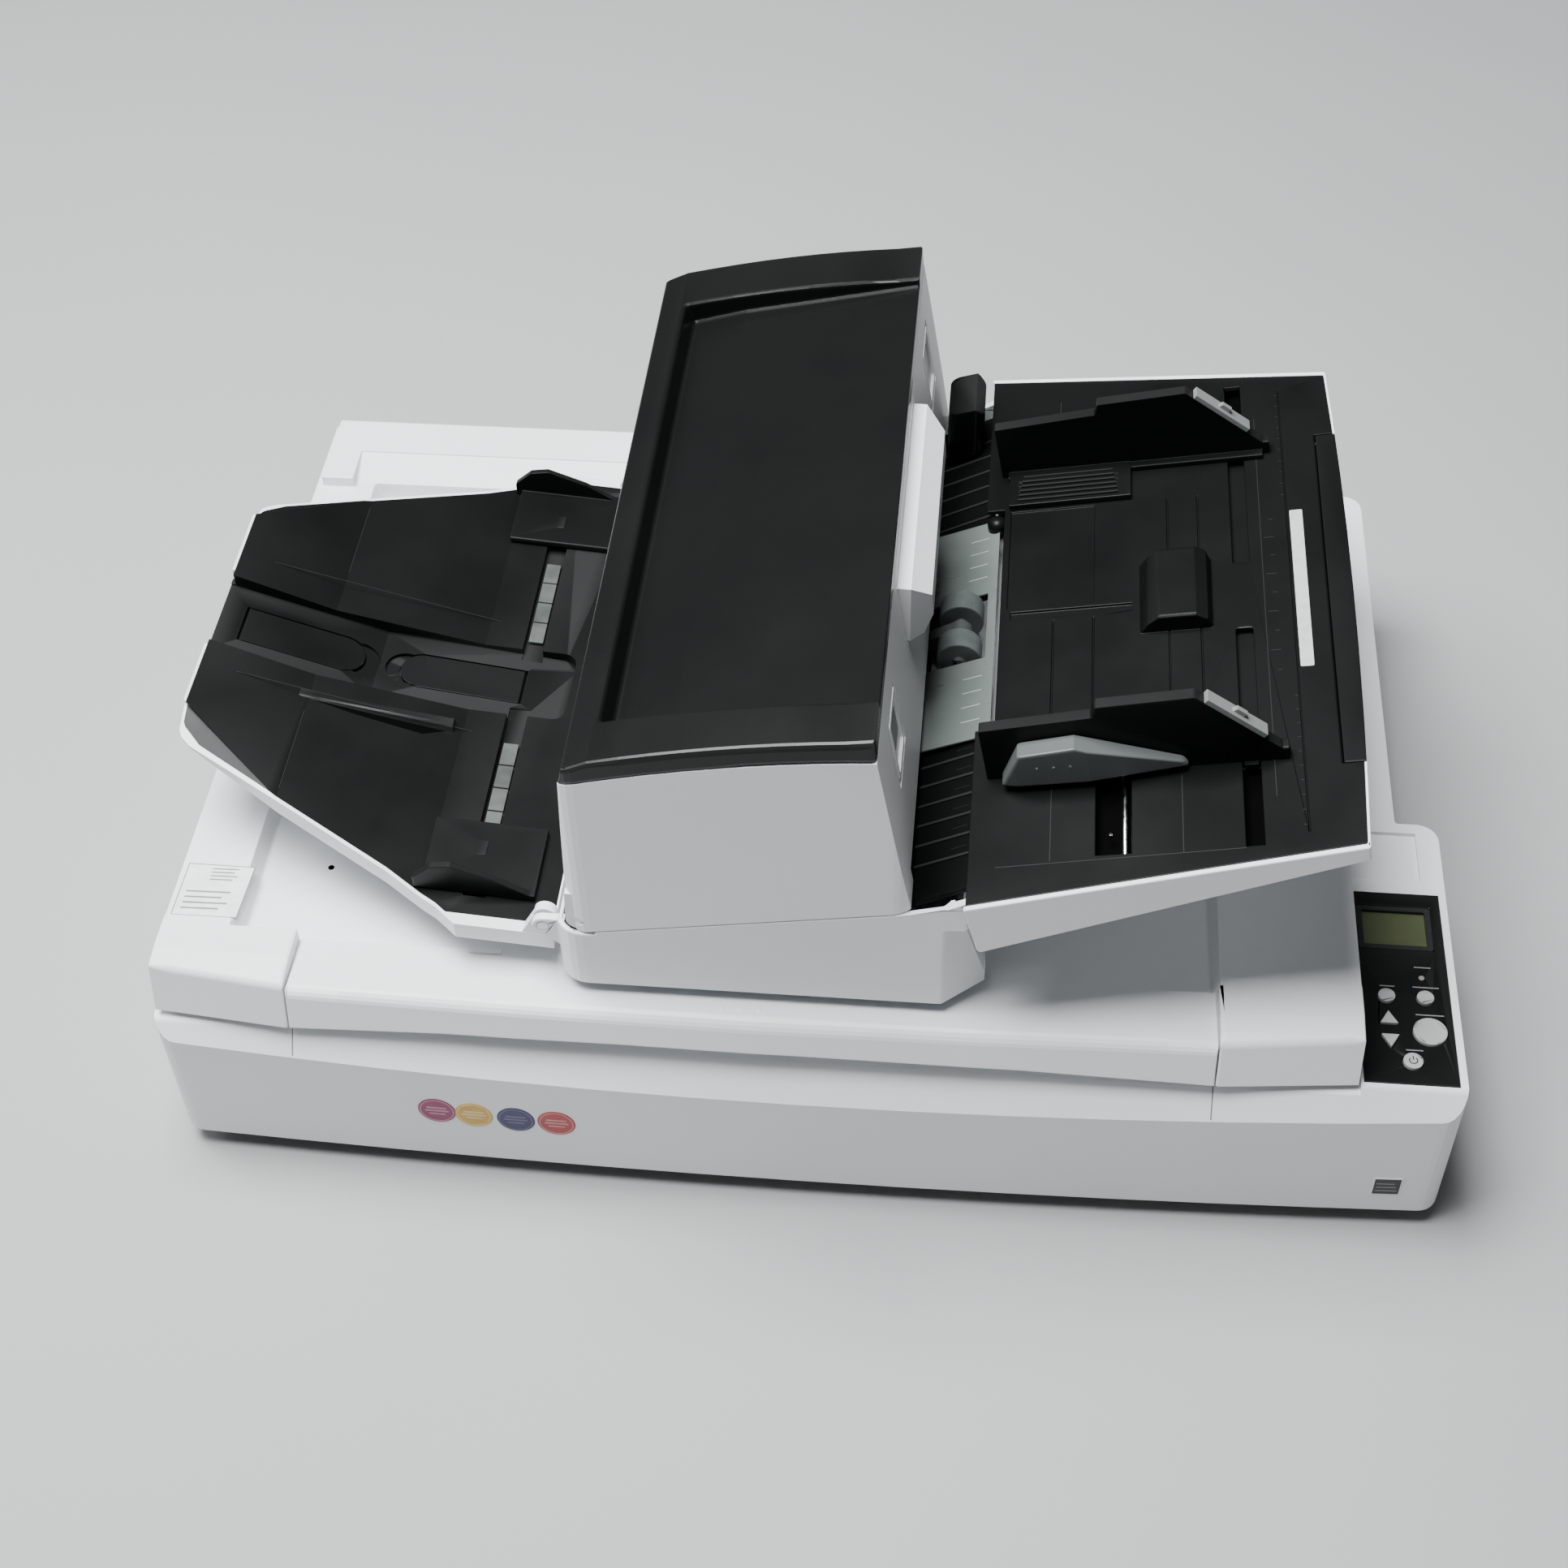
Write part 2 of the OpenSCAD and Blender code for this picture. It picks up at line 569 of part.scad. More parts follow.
function cover_section(e) = concat(
  [[seam_b[0] - e * 1.1, seam_b[1] + seam_gap]],
  [for (i = [10:-1:0]) arch(i / 10) + [i == 10 ? -e : (i == 0 ? e : 0), 0]],
  [[lid_axis[0] - lid_r + e, lid_axis[1]]],
  e == 0 ? arc(lid_axis, lid_r, 190, 270, 5) : [[lid_axis[0] - lid_r + e, lid_axis[1] - 3]],
  [[seam_a[0], seam_a[1] + seam_gap]]);

module cover_plan(e) polygon(concat(
  arc([-106, adf_y - adf_half + 14], 14 - e, 180, 270), arc([50, adf_y - adf_half + 14], 14 - e, 270, 360),
  arc([50, adf_y + adf_half - 14], 14 - e, 0, 90), arc([-106, adf_y + adf_half - 14], 14 - e, 90, 180)));

module adf_cover() color("whitesmoke") difference() {
  union() {
    difference() {
      intersection() {
        across(adf_y - adf_half, adf_y + adf_half) polygon(cover_section(0));
        translate([0, 0, 180]) linear_extrude(200) cover_plan(0);
      }
      intersection() {
        across(adf_y - adf_half + wall, adf_y + adf_half - wall) polygon(concat(
          [[seam_b[0] - 3.3, seam_b[1] - 8]],
          [for (i = [10:-1:0]) arch(i / 10) + [i == 10 ? -wall : (i == 0 ? wall : 0), 9]],
          [[lid_axis[0] - lid_r + wall, lid_axis[1]], [lid_axis[0] - lid_r + wall, 170]]));
        translate([0, 0, 150]) linear_extrude(250) cover_plan(wall);
      }
      // entrance for the sheets under the right wall
      block([40, adf_y - 180, 200], [75, adf_y + 180, 226]);
      // recess that the release lever sits in
      block([30, adf_y - 72, 280], [75, adf_y + 82, 319]);
      // marked windows at both ends of the right wall
      for (y = [-162, 137]) on_right_wall() marked_window(y);
    }
    // lugs that hold the release lever's pins
    for (y = [-75.4, 82.4]) translate([0, adf_y + y, 0]) across(0, 3) {
      translate(latch_axis) circle(3.2);
      polygon([[latch_axis[0], latch_axis[1] - 3], [latch_axis[0], latch_axis[1] + 3], [42,
          latch_axis[1] + 3], [42, latch_axis[1] - 3]]);
    }
    for (s = [-1, 1]) translate([0, adf_y + s * (adf_half - wall - 2.4), 0]) across(-2.5, 2.5) {
      translate(lid_axis) circle(lid_r - 0.2);
      polygon([[lid_axis[0] - lid_r + 0.2, lid_axis[1]], [lid_axis[0] + 7, lid_axis[1]], [lid_axis[0] + 7,
          214], [-118.3, 214]]);
    }
  }
  rod_y(lid_axis, 2.5 + run, adf_y - adf_half - 1, adf_y + adf_half + 1);
  rod_y(latch_axis, latch_pin_r + run, adf_y - 74.9, adf_y + 84.9);
}

top_rise = 12.5;
tray_floor = [[-97, 330], [-97, 317], [-91, 302.8], [-60, 312], [60, 338]];
module top_tray() color("black") difference() {
  union() {
    intersection() {
      across(adf_y - adf_half, adf_y + adf_half) polygon(concat(
        [for (i = [0:10]) arch(i / 10)],
        [[arch_right[0] - 1, arch_right[1] + top_rise + 1]],
        [for (i = [9:-1:1]) arch(i / 10) + [0, top_rise]],
        [[arch_left[0] + 2.5, arch_left[1] + top_rise - 2]]));
      translate([0, 0, 280]) linear_extrude(80) cover_plan(0);
    }
    // pan of the tray, inside the cover's walls
    across(adf_y - 176, adf_y + 171) polygon([[-101, 296.5], [-101, 306], [30, 328], [30, 328.5], [-60,
        308.5]]);
  }
  // tray: deep at the left, running out at the right edge
  across(adf_y - 173, adf_y + 168) polygon(concat(tray_floor, [[60, 360]]));
}

module upper_guide() color("black") across(adf_y - adf_half + wall, adf_y + adf_half - wall)
  polygon([[-100, seam_at(-100) + 2.5], [50, seam_at(50) + 2.5], [50, seam_at(50) + 12], [47,
      seam_at(50) + 12],
    [47, seam_at(47) + 5.5], [-100, seam_at(-100) + 5.5]]);

module release_lever() color("whitesmoke") {
  intersection() {
    across(adf_y - 71, adf_y + 81) polygon([[38, 315.5], [43.5, 317.2], [50, 317], [60.5, 306], [61.5,
        292], [57, 282],
      [48, 281], [34, 284], [34, 290], [43, 296], [43, 309], [38, 309.5]]);
    translate([0, 0, 270]) linear_extrude(60) polygon([[30, adf_y - 71], [50, adf_y - 71], [63, adf_y - 60],
      [63, adf_y + 70], [50, adf_y + 81], [30, adf_y + 81]]);
  }
  rod_y(latch_axis, latch_pin_r, adf_y - 74.6, adf_y + 84.6);
}

// ---- chute ----
chute_at = [86, 235];
module on_chute() translate([chute_at[0], adf_y, chute_at[1]]) rotate([0, -chute_angle, 0]) children();
tray_t = 3;
rim = 3;
end_share = 0.4;      // the outer end wall is this much of the side walls' thickness
function half_at(x, e) = chute_half_in + (chute_half_out - chute_half_in) * x / chute_len - e;
function chute_plan(e, x0 = 0) = concat([[x0, -half_at(x0, e)]],
  [for (i = [-4:4]) [chute_len - end_share * e - 4 * pow(i / 4, 2), half_at(chute_len, e) * i / 4]], [[x0,
      half_at(x0, e)]]);
function chute_bottom(x) = -34 + 25.5 * x / chute_len;

// notch in the inner edge for the guide plate
notch = [10.2, -89, 89];
guide_slots = [[138, 147, 26, 182], [138, 147, -182, -26], [64, 82, -182, -92], [64, 82, 92, 182]];
bump = [85, 127, -24, 31];
lip = [188, 130];     // where the extension's lip starts, and its half width

module chute_shell() color("whitesmoke") difference() {
  intersection() {
    on_chute() translate([0, 0, -60]) linear_extrude(60) polygon(chute_plan(0, -2));
    on_chute() across(-220, 220) polygon([[-1, 0], [chute_len + 2, 0], [chute_len + 2,
        chute_bottom(chute_len)],
      [3, chute_bottom(3)], [1.2, chute_bottom(3) + 2]]);
  }
  // hollow inside, open towards the feeder
  intersection() {
    on_chute() translate([0, 0, -60]) linear_extrude(70) polygon(chute_plan(rim, -15));
    on_chute() across(-220, 220) polygon([[-20, 5], [chute_len + 2, 5], [chute_len + 2,
        chute_bottom(chute_len) + 2.5],
      [-20, chute_bottom(-20) + 2.5]]);
  }
  on_chute() block([chute_len - 20, -lip[1], -tray_t - 4.5], [chute_len + 10, lip[1], 5]);
  for (s = [-1, 1]) rod_y(chute_axis, pin_r + run, adf_y + s * (adf_half + 6) - 2,
      adf_y + s * (adf_half + 6) + 2);
}

module chute_tray() color("black") difference() {
  union() {
    on_chute() difference() {
      translate([0, 0, -tray_t]) linear_extrude(tray_t - 0.3) polygon(chute_plan(rim + 0.05));
      block([-1, notch[1], -10], [notch[0], notch[2], 5]);
      for (g = guide_slots) block([g[0], g[2], -10], [g[1], g[3], 5]);
      block([lip[0] - 0.4, -lip[1] - 0.4, -10], [chute_len + 10, lip[1] + 0.4, 5]);
      // long shallow step and the line across the outer end
      block([16, -5, -1.6], [83, 1, 5]);
      block([168.4, -175, -0.9], [169.2, 175, 5]);
      block([14, 4, -1.1], [62, 86, 5]);
      for (x = [40, 62, 103, 120]) block([x - 0.5, -80, -1], [x + 0.5, -8, 5]);
      for (x = [103, 120]) block([x - 0.5, 40, -1], [x + 0.5, 86, 5]);
    }
    // raised block in the middle
    on_chute() across(bump[2], bump[3]) polygon([[bump[0], -tray_t], [bump[0] + 7, 6], [bump[0] + 13,
        10.5], [bump[1] - 9, 10.5],
      [bump[1] - 3, 7], [bump[1], -tray_t]]);
    // bosses that turn on the chute's hinge pins
    for (s = [-1, 1]) translate([0, adf_y + s * (adf_half + 2.7), 0]) across(-2.3, 2.3) {
      translate(chute_axis) circle(5.5);
      polygon([[chute_axis[0] - 5, chute_axis[1]], [chute_axis[0] - 4, 231], [chute_axis[0] + 12, 234],
        [chute_axis[0] + 5.5, chute_axis[1]]]);
    }
  }
  rod_y(chute_axis, pin_r + run, adf_y - 230, adf_y + 230);
  // corners beside the feeder's lugs
  for (s = [-1, 1]) translate([0, adf_y + s * (adf_half - 3), 0]) across(-5.2, 5.2) polygon([[80, 200],
      [100, 200], [100, 231.5], [80, 231.5]]);
}

module chute_extension() color("black") on_chute() {
  block([95, -lip[1] + 4, -6.6], [lip[0] + 10, lip[1] - 4, -4.6]);
  intersection() {
    translate([0, 0, -6.6]) linear_extrude(6.6 - 0.3) polygon(chute_plan(0.3));
    block([lip[0], -lip[1] + 0.3, -6.6], [chute_len + 5, lip[1] - 0.3, 0]);
  }
}

// side guides of the chute: a profiled wall with a foot, on tongues that run in the slots
guide_t = 7;
module guide_wall(side) on_chute() {
  translate([0, side * (guide_half + guide_t / 2), 0]) {
    across(-guide_t / 2, guide_t / 2) polygon([[8, 0], [8, 35], [66, 39], [68, 46], [118, 48], [158, 8],
        [162, 8], [162, 0]]);
    translate([0, -side * 2.5, 0]) across(-guide_t / 2 - 2.5, guide_t / 2 + 2.5)
      polygon([[12, 0], [12, 3], [158, 3], [158, 0]]);
  }
  translate([139, side * (guide_half + guide_t / 2) - 6, -tray_t - 1]) cube([7, 12, tray_t + 1 + eps]);
}

module side_guide_front() color("black") guide_wall(-1);

module side_guide_back() color("black") {
  guide_wall(1);
  on_chute() difference() {
    translate([13, guide_half - 30, 0]) cube([70, 31, 3.5]);
    for (i = [0:4]) translate([18, guide_half - 27 + i * 4, 2.9]) cube([58, 1.2, 2]);
  }
}

// light tips on the sloping end of each guide
module guide_tip(side) on_chute() translate([0, side * (guide_half + guide_t / 2), 0]) {
  across(-4, 4) polygon([[122, 44.2], [124, 46.4], [152, 18.4], [150, 16.2]]);
  across(-1.5, 1.5) polygon([[134, 34], [138, 36], [143, 31], [140, 29]]);
}
module guide_tip_front() color("gray") guide_tip(-1);
module guide_tip_back() color("gray") guide_tip(1);

// squeeze lever on the outer side of the front guide
module guide_release() color("gray") on_chute() translate([0, -guide_half - guide_t - 0.3, 0]) intersection() {
  across(-11, 0) polygon([[16, 4], [27, 26], [56, 29], [110, 8], [112, 4]]);
  linear_extrude(40) polygon([[15, 1], [15, -9], [25, -11], [62, -11], [113, -4], [113, 1]]);
}

// ---- stacker ----
// upper surface of the stacker, from the feeder outwards
stack_top = [[-131, 163], [-205, 170], [-291, 192], [-350, 217]];
stack_skin = 7;
function raise(p, e) = [for (q = p) q + [0, e]];
function reverse(p) = [for (i = [len(p) - 1:-1:0]) p[i]];
// plan of one half: distance from the middle at some places along X
stack_half = [[-131.3, 186], [-184, 186], [-196, 176], [-226, 158], [-290, 127], [-343, 101.8], [-348,
    97.5], [-351, 91]];
function stack_edge(e, side) = [for (q = stack_half) [q[0] + (q[0] < -342 ? e : 0), side * (q[1] - e)]];
module stacker_plan(e) translate([0, adf_y]) polygon(concat(stack_edge(e, -1), reverse(stack_edge(e, 1))));

module stack_layer(top, bottom, e) intersection() {
  across(adf_y - 200, adf_y + 200) polygon(concat(raise(stack_top, top), reverse(raise(stack_top,
      bottom))));
  translate([0, 0, 100]) linear_extrude(200) stacker_plan(e);
}
// the two outer corners fall away below a slanting fold
module outer_corners(drop) for (s = [-1, 1]) translate([-280, adf_y + s * 134, 188.4 + drop])
  rotate([0, 0, s * 39]) rotate([0, 15.7, 0]) rotate([-s * 11, 0, 0]) translate([-160, s > 0 ? 0 : -80,
      0]) cube([200, 80, 60]);

channel_half = 27;
channel_floor = [[-150, 158.5], [-262, 176.5], [-362, 212.6]];
channel_r = 8;
module channel_cut() intersection() {
  across(adf_y - 2 - channel_half, adf_y - 2 + channel_half) polygon(concat(channel_floor, [[-362, 260],
      [-150, 200]]));
  translate([-260, adf_y - 2, 100]) linear_extrude(200) rounded_rect(220, 2 * channel_half, channel_r);
}
// black lining under the channel, and the light belly that holds it
module channel_lining(top, bottom, e) intersection() {
  across(adf_y - 2 - channel_half - 4 - e, adf_y - 2 + channel_half + 4 + e)
    polygon(concat(raise(channel_floor, top), reverse(raise(channel_floor, bottom))));
  translate([0, 0, 100]) linear_extrude(200) stacker_plan(e > 0 ? -0.5 : 0);
}

// middle of each stopper's pad on the channel's floor, and the floor's slope there
function pad_frame(left) = left ? [-304, 191.66, 19.85] : [-214, 168.79, 9.13];
module on_pad(left) let (f = pad_frame(left)) translate([f[0], adf_y - 2, f[1]]) rotate([0, f[2], 0])
    children();
pad_len = 72;
pad_w = 26;
pad_t = 2.2;
pad_pin = [34.6, -1.9];   // distance of the stopper's pin from the pad's middle, and its height
pad_pin_r = 1.1;
pad_pin_half = pad_w / 2 + 2.5;
module pad_pockets() for (out = [1, -1]) on_pad(out > 0) {
  translate([0, 0, -3.1]) linear_extrude(20) pad_outline(0.8, out, 0);
  // finger scoop at the round end
  translate([out * 33, 0, -2.2]) linear_extrude(20) circle(12);
  translate([-out * pad_pin[0], 0, 0]) rod_y([0, pad_pin[1]], pad_pin_r + run, -pad_pin_half - 0.3,
      pad_pin_half + 0.3);
}
module pad_outline(e, out, cut) {
  translate([out > 0 ? -pad_len / 2 - e + cut : -pad_len / 2 + 13, -pad_w / 2 - e])
      square([pad_len - 13 + e - cut, pad_w + 2 * e]);
  translate([out * (pad_len / 2 - 13), 0]) circle(13 + e);
}
module stopper(out) on_pad(out > 0) {
  translate([0, 0, -2.3]) linear_extrude(pad_t) pad_outline(0, out, 1);
  translate([-out * pad_pin[0], 0, 0]) rod_y([0, pad_pin[1]], pad_pin_r, -pad_pin_half, pad_pin_half);
}

module stacker_shell() color("whitesmoke") difference() {
  union() {
    stack_layer(-0.2, -11, 0);
    channel_lining(-2, -7.5, 3);
    for (s = [-1, 1]) translate([0, adf_y + s * 183, 0]) across(-2.8, 2.8) {
      translate(stack_axis) circle(6);
      polygon([[stack_axis[0] - 6, stack_axis[1]], [-150, 160], [-131.5, 156], [stack_axis[0] + 6,
          stack_axis[1] - 1]]);
    }
  }
  intersection() {
    stack_layer(30, -stack_skin, 2.5);
    block([-360, adf_y - 178.5, 100], [-132.3, adf_y + 178.5, 300]);
  }
  rod_y(stack_axis, pin_r + run, adf_y - 200, adf_y + 200);
  channel_lining(20, -5, 0);
  outer_corners(-0.2);
}

module stacker_tray() color("black") difference() {
  union() {
    intersection() {
      stack_layer(0, -stack_skin, 2.5);
      block([-360, adf_y - 178.5, 100], [-132.3, adf_y + 178.5, 300]);
    }
    channel_lining(1, -5, 0);
  }
  channel_cut();
  outer_corners(0);
  pad_pockets();
  // slots of the side guides, with a floor
  intersection() {
    for (s = [-1, 1]) translate([-183, adf_y + (s > 0 ? 20 : -166), 120]) cube([12, 146, 90]);
    stack_layer(10, -5, -5);
  }
}

module outer_stopper() color("black") stopper(1);
module inner_stopper() color("black") stopper(-1);

// a foot on the stacker, an upright fin along its outer side and a tongue in the slot
module stacker_guide(side) {
  beside(side, 116, 165) polygon([[-206, 171.5], [-206, 174.5], [-144, 168.7], [-144, 165]]);
  beside(side, 161, 165) polygon([[-209.5, 171.5], [-209.5, 179], [-199, 188], [-188, 189.5], [-165, 180],
    [-146, 168.5], [-144, 166]]);
  beside(side, 130, 140) polygon([[-180.5, 166], [-180.5, 172], [-174.5, 172], [-174.5, 165.4]]);
}
module stacker_guide_front() color("black") stacker_guide(-1);
module stacker_guide_back() color("black") stacker_guide(1);

base_pan();
base_housing();
flatbed_glass();
rubber_feet();
carriage_rod();
carriage_motor();
carriage_belt();
main_board();
power_inlet();
usb_socket();
panel_plate();
lcd_window();
status_led();
hinge_brackets();
hinge_pins();
power_switch();
menu_button();
stop_button();
scan_button();
up_button();
down_button();
power_button();
scan_carriage();
carriage_window();
document_cover();
document_pad();
slide_plate();
adf_foot();
side_frames();
throat_guide();
guide_plate();
throat_block();
pick_bracket();
feed_motor();
drive_belt();
motor_pulley();
pick_rollers();
brake_roller();
feed_roller();
exit_roller();
feeder_pins();
adf_cover();
top_tray();
upper_guide();
release_lever();
chute_shell();
chute_tray();
chute_extension();
side_guide_front();
side_guide_back();
guide_tip_front();
guide_tip_back();
guide_release();
stacker_shell();
stacker_tray();
outer_stopper();
inner_stopper();
stacker_guide_front();
stacker_guide_back();
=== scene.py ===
"""Looks of the document scanner: materials for the CAD parts, rounded edges,
and the printed and moulded details."""
import json
import math

import bmesh
import bpy
from mathutils import Matrix, Vector


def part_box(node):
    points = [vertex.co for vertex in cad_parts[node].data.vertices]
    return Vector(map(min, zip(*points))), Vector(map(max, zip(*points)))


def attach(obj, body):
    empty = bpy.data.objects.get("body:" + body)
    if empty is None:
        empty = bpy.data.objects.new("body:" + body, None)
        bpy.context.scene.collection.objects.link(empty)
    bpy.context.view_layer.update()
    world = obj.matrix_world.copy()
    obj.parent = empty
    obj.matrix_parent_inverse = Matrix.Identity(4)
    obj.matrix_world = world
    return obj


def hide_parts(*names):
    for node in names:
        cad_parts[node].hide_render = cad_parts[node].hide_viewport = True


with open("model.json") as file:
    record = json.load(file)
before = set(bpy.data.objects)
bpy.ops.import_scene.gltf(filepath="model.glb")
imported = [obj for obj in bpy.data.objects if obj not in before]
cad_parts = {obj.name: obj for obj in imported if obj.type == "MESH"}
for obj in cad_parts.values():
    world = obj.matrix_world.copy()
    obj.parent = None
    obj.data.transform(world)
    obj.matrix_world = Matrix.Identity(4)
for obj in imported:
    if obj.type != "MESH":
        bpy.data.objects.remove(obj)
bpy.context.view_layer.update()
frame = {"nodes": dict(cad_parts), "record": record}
nodes = frame["nodes"]
MM = 0.001


def box_mm(node):
    low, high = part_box(node)
    return low / MM, high / MM


# ---- measures of the CAD, in millimetres ----
base_high = box_mm("base_housing")[1]
foot_low, foot_high = box_mm("adf_foot")
HALF_WIDTH = base_high.x
HALF_DEPTH = base_high.y
FEEDER_Y = (foot_low.y + foot_high.y) / 2
DECK = 108
FRONT_BOW = 8
SLOPE_TOP = -234.4      # front edge of the deck, where the slanting band begins
SLOPE = 21.5 / 15.6     # its fall for each millimetre towards the front
SLOPE_EASE = 3.1        # how far the band's upper edge is rounded on either side
PLATEAU = 142
PANEL_TOP = box_mm("panel_plate")[1].z
CHUTE_START = Vector((86, FEEDER_Y, 235))
CHUTE_SLOPE = math.radians(10.2)
WALL_FOOT = Vector((59, FEEDER_Y, 216.5))
WALL_LEAN = math.atan(17.5 / 108.5)
GUIDE_THICK = 7
STACK_TOP = ((-131, 163), (-205, 170), (-291, 192), (-350, 217))


# ---- camera, floor and light ----
CAMERA_AT = Vector((0.08998, -0.99149, 1.13871))
LOOK_ALONG = Vector((-0.08168, 0.67763, -0.73085))
CAMERA_ROLL = math.radians(-1.97)
LENS = 54.71


def make_camera():
    data = bpy.data.cameras.new("camera")
    data.lens = LENS
    data.sensor_width = 36
    camera = bpy.data.objects.new("camera", data)
    bpy.context.scene.collection.objects.link(camera)
    camera.location = CAMERA_AT
    camera.rotation_mode = "QUATERNION"
    roll = Matrix.Rotation(CAMERA_ROLL, 4, "Z").to_quaternion()
    camera.rotation_quaternion = LOOK_ALONG.to_track_quat("-Z", "Y") @ roll
    bpy.context.scene.camera = camera


def make_floor():
    reach = 6.0
    mesh = bpy.data.meshes.new("floor")
    mesh.from_pydata([(-reach, -reach, 0), (reach, -reach, 0), (reach, reach, 0), (-reach, reach, 0)], [],
        [(0, 1, 2, 3)])
    floor = bpy.data.objects.new("floor", mesh)
    bpy.context.scene.collection.objects.link(floor)
    paper = Surface("floor_paper", (0.36, 0.36, 0.36), 0.85)
    floor.data.materials.append(paper.vary_colour(3, (0.345, 0.345, 0.35), 0.5).material)


def area_light(name, at, aim, size, watts, colour=(1, 1, 1)):
    data = bpy.data.lights.new(name, "AREA")
    data.shape = "RECTANGLE"
    data.size, data.size_y = size
    data.energy = watts
    data.color = colour
    light = bpy.data.objects.new(name, data)
    bpy.context.scene.collection.objects.link(light)
    light.location = at
    light.rotation_mode = "QUATERNION"
    light.rotation_quaternion = (Vector(aim) - Vector(at)).to_track_quat("-Z", "Y")


def make_lights():
    world = bpy.data.worlds.new("room")
    world.use_nodes = True
    background = world.node_tree.nodes["Background"]
    background.inputs["Color"].default_value = (0.93, 0.97, 1.0, 1)
    background.inputs["Strength"].default_value = 0.12
    bpy.context.scene.world = world
    area_light("ceiling", (-0.55, -0.1, 2.3), (0, 0, 0.1), (1.5, 1.3), 190, (0.97, 0.99, 1.0))
    area_light("window_left", (-2.0, 0.5, 1.3), (0, 0, 0.15), (1.2, 1.0), 16, (0.95, 0.98, 1.0))


# ---- materials ----
class Surface:
    """A principled material whose colour, roughness and bump come from noise in the object's own space."""

    painted = None
    normal = None

    def __init__(self, name, colour, rough, **sockets):
        self.material = bpy.data.materials.new(name)
        self.material.use_nodes = True
        self.tree = self.material.node_tree
        self.shader = self.tree.nodes["Principled BSDF"]
        self.shader.inputs["Base Color"].default_value = (*colour[:3], 1)
        self.shader.inputs["Roughness"].default_value = rough
        for socket, value in sockets.items():
            self.shader.inputs[socket.replace("_", " ")].default_value = value
        self.colour = colour
        self.rough = rough
        self.space = self.tree.nodes.new("ShaderNodeTexCoord").outputs["Object"]

    def link(self, source, target):
        self.tree.links.new(source, target)

    def noise(self, scale, detail=3.0, stretch=None):
        node = self.tree.nodes.new("ShaderNodeTexNoise")
        node.inputs["Scale"].default_value = scale
        node.inputs["Detail"].default_value = detail
        space = self.space
        if stretch:
            mapping = self.tree.nodes.new("ShaderNodeMapping")
            mapping.inputs["Scale"].default_value = stretch
            self.link(self.space, mapping.inputs["Vector"])
            space = mapping.outputs["Vector"]
        self.link(space, node.inputs["Vector"])
        return node.outputs["Fac"]

    def span(self, source, low, high, start=0.35, end=0.65):
        node = self.tree.nodes.new("ShaderNodeMapRange")
        node.inputs["From Min"].default_value = start
        node.inputs["From Max"].default_value = end
        node.inputs["To Min"].default_value = low
        node.inputs["To Max"].default_value = high
        self.link(source, node.inputs["Value"])
        return node.outputs["Result"]

    def vary_rough(self, scale, amount):
        self.link(self.span(self.noise(scale), self.rough - amount, self.rough + amount),
            self.shader.inputs["Roughness"])
        return self

    def mix(self, factor, first, second):
        node = self.tree.nodes.new("ShaderNodeMix")
        node.data_type = "RGBA"
        for socket, value in ((node.inputs[6], first), (node.inputs[7], second)):
            if isinstance(value, bpy.types.NodeSocket):
                self.link(value, socket)
            else:
                socket.default_value = (*value[:3], 1)
        self.link(factor, node.inputs[0])
        return node.outputs[2]

    def vary_colour(self, scale, other, amount=1.0):
        factor = self.span(self.noise(scale, 5.0), 0.0, amount, 0.4, 0.7)
        self.paint(self.mix(factor, self.colour, other))
        return self

    def paint(self, colour):
        self.link(colour, self.shader.inputs["Base Color"])
        self.painted = colour

    def painted_edge_highlight(self, other, amount):
        """Painted highlight: lighter or darker where the mesh turns sharply outwards, standing in for edges
        that catch the light.
        """
        geometry = self.tree.nodes.new("ShaderNodeNewGeometry")
        edge = self.span(geometry.outputs["Pointiness"], 0.0, amount, 0.52, 0.62)
        self.paint(self.mix(edge, self.painted or self.colour, other))
        return self

    def bump(self, height, strength, depth):
        node = self.tree.nodes.new("ShaderNodeBump")
        node.inputs["Strength"].default_value = strength
        node.inputs["Distance"].default_value = depth
        self.link(height, node.inputs["Height"])
        if self.normal:
            self.link(self.normal, node.inputs["Normal"])
        self.normal = node.outputs["Normal"]
        self.link(self.normal, self.shader.inputs["Normal"])
        return self

    def grain(self, scale, strength, depth, detail=2.0, stretch=None):
        return self.bump(self.noise(scale, detail, stretch), strength, depth)


def moulded(name, colour, rough, dust, grain=1500, uneven=0.05, **sockets):
    """Textured injection-moulded plastic with faint dust and handling marks."""
    surface = Surface(name, colour, rough, **sockets)
    surface.vary_colour(9, dust, 0.5).vary_rough(14, uneven)
    return surface.grain(grain, 0.35, 0.00012).grain(60, 0.08, 0.0004)


DARK = {"Specular_IOR_Level": 0.16}


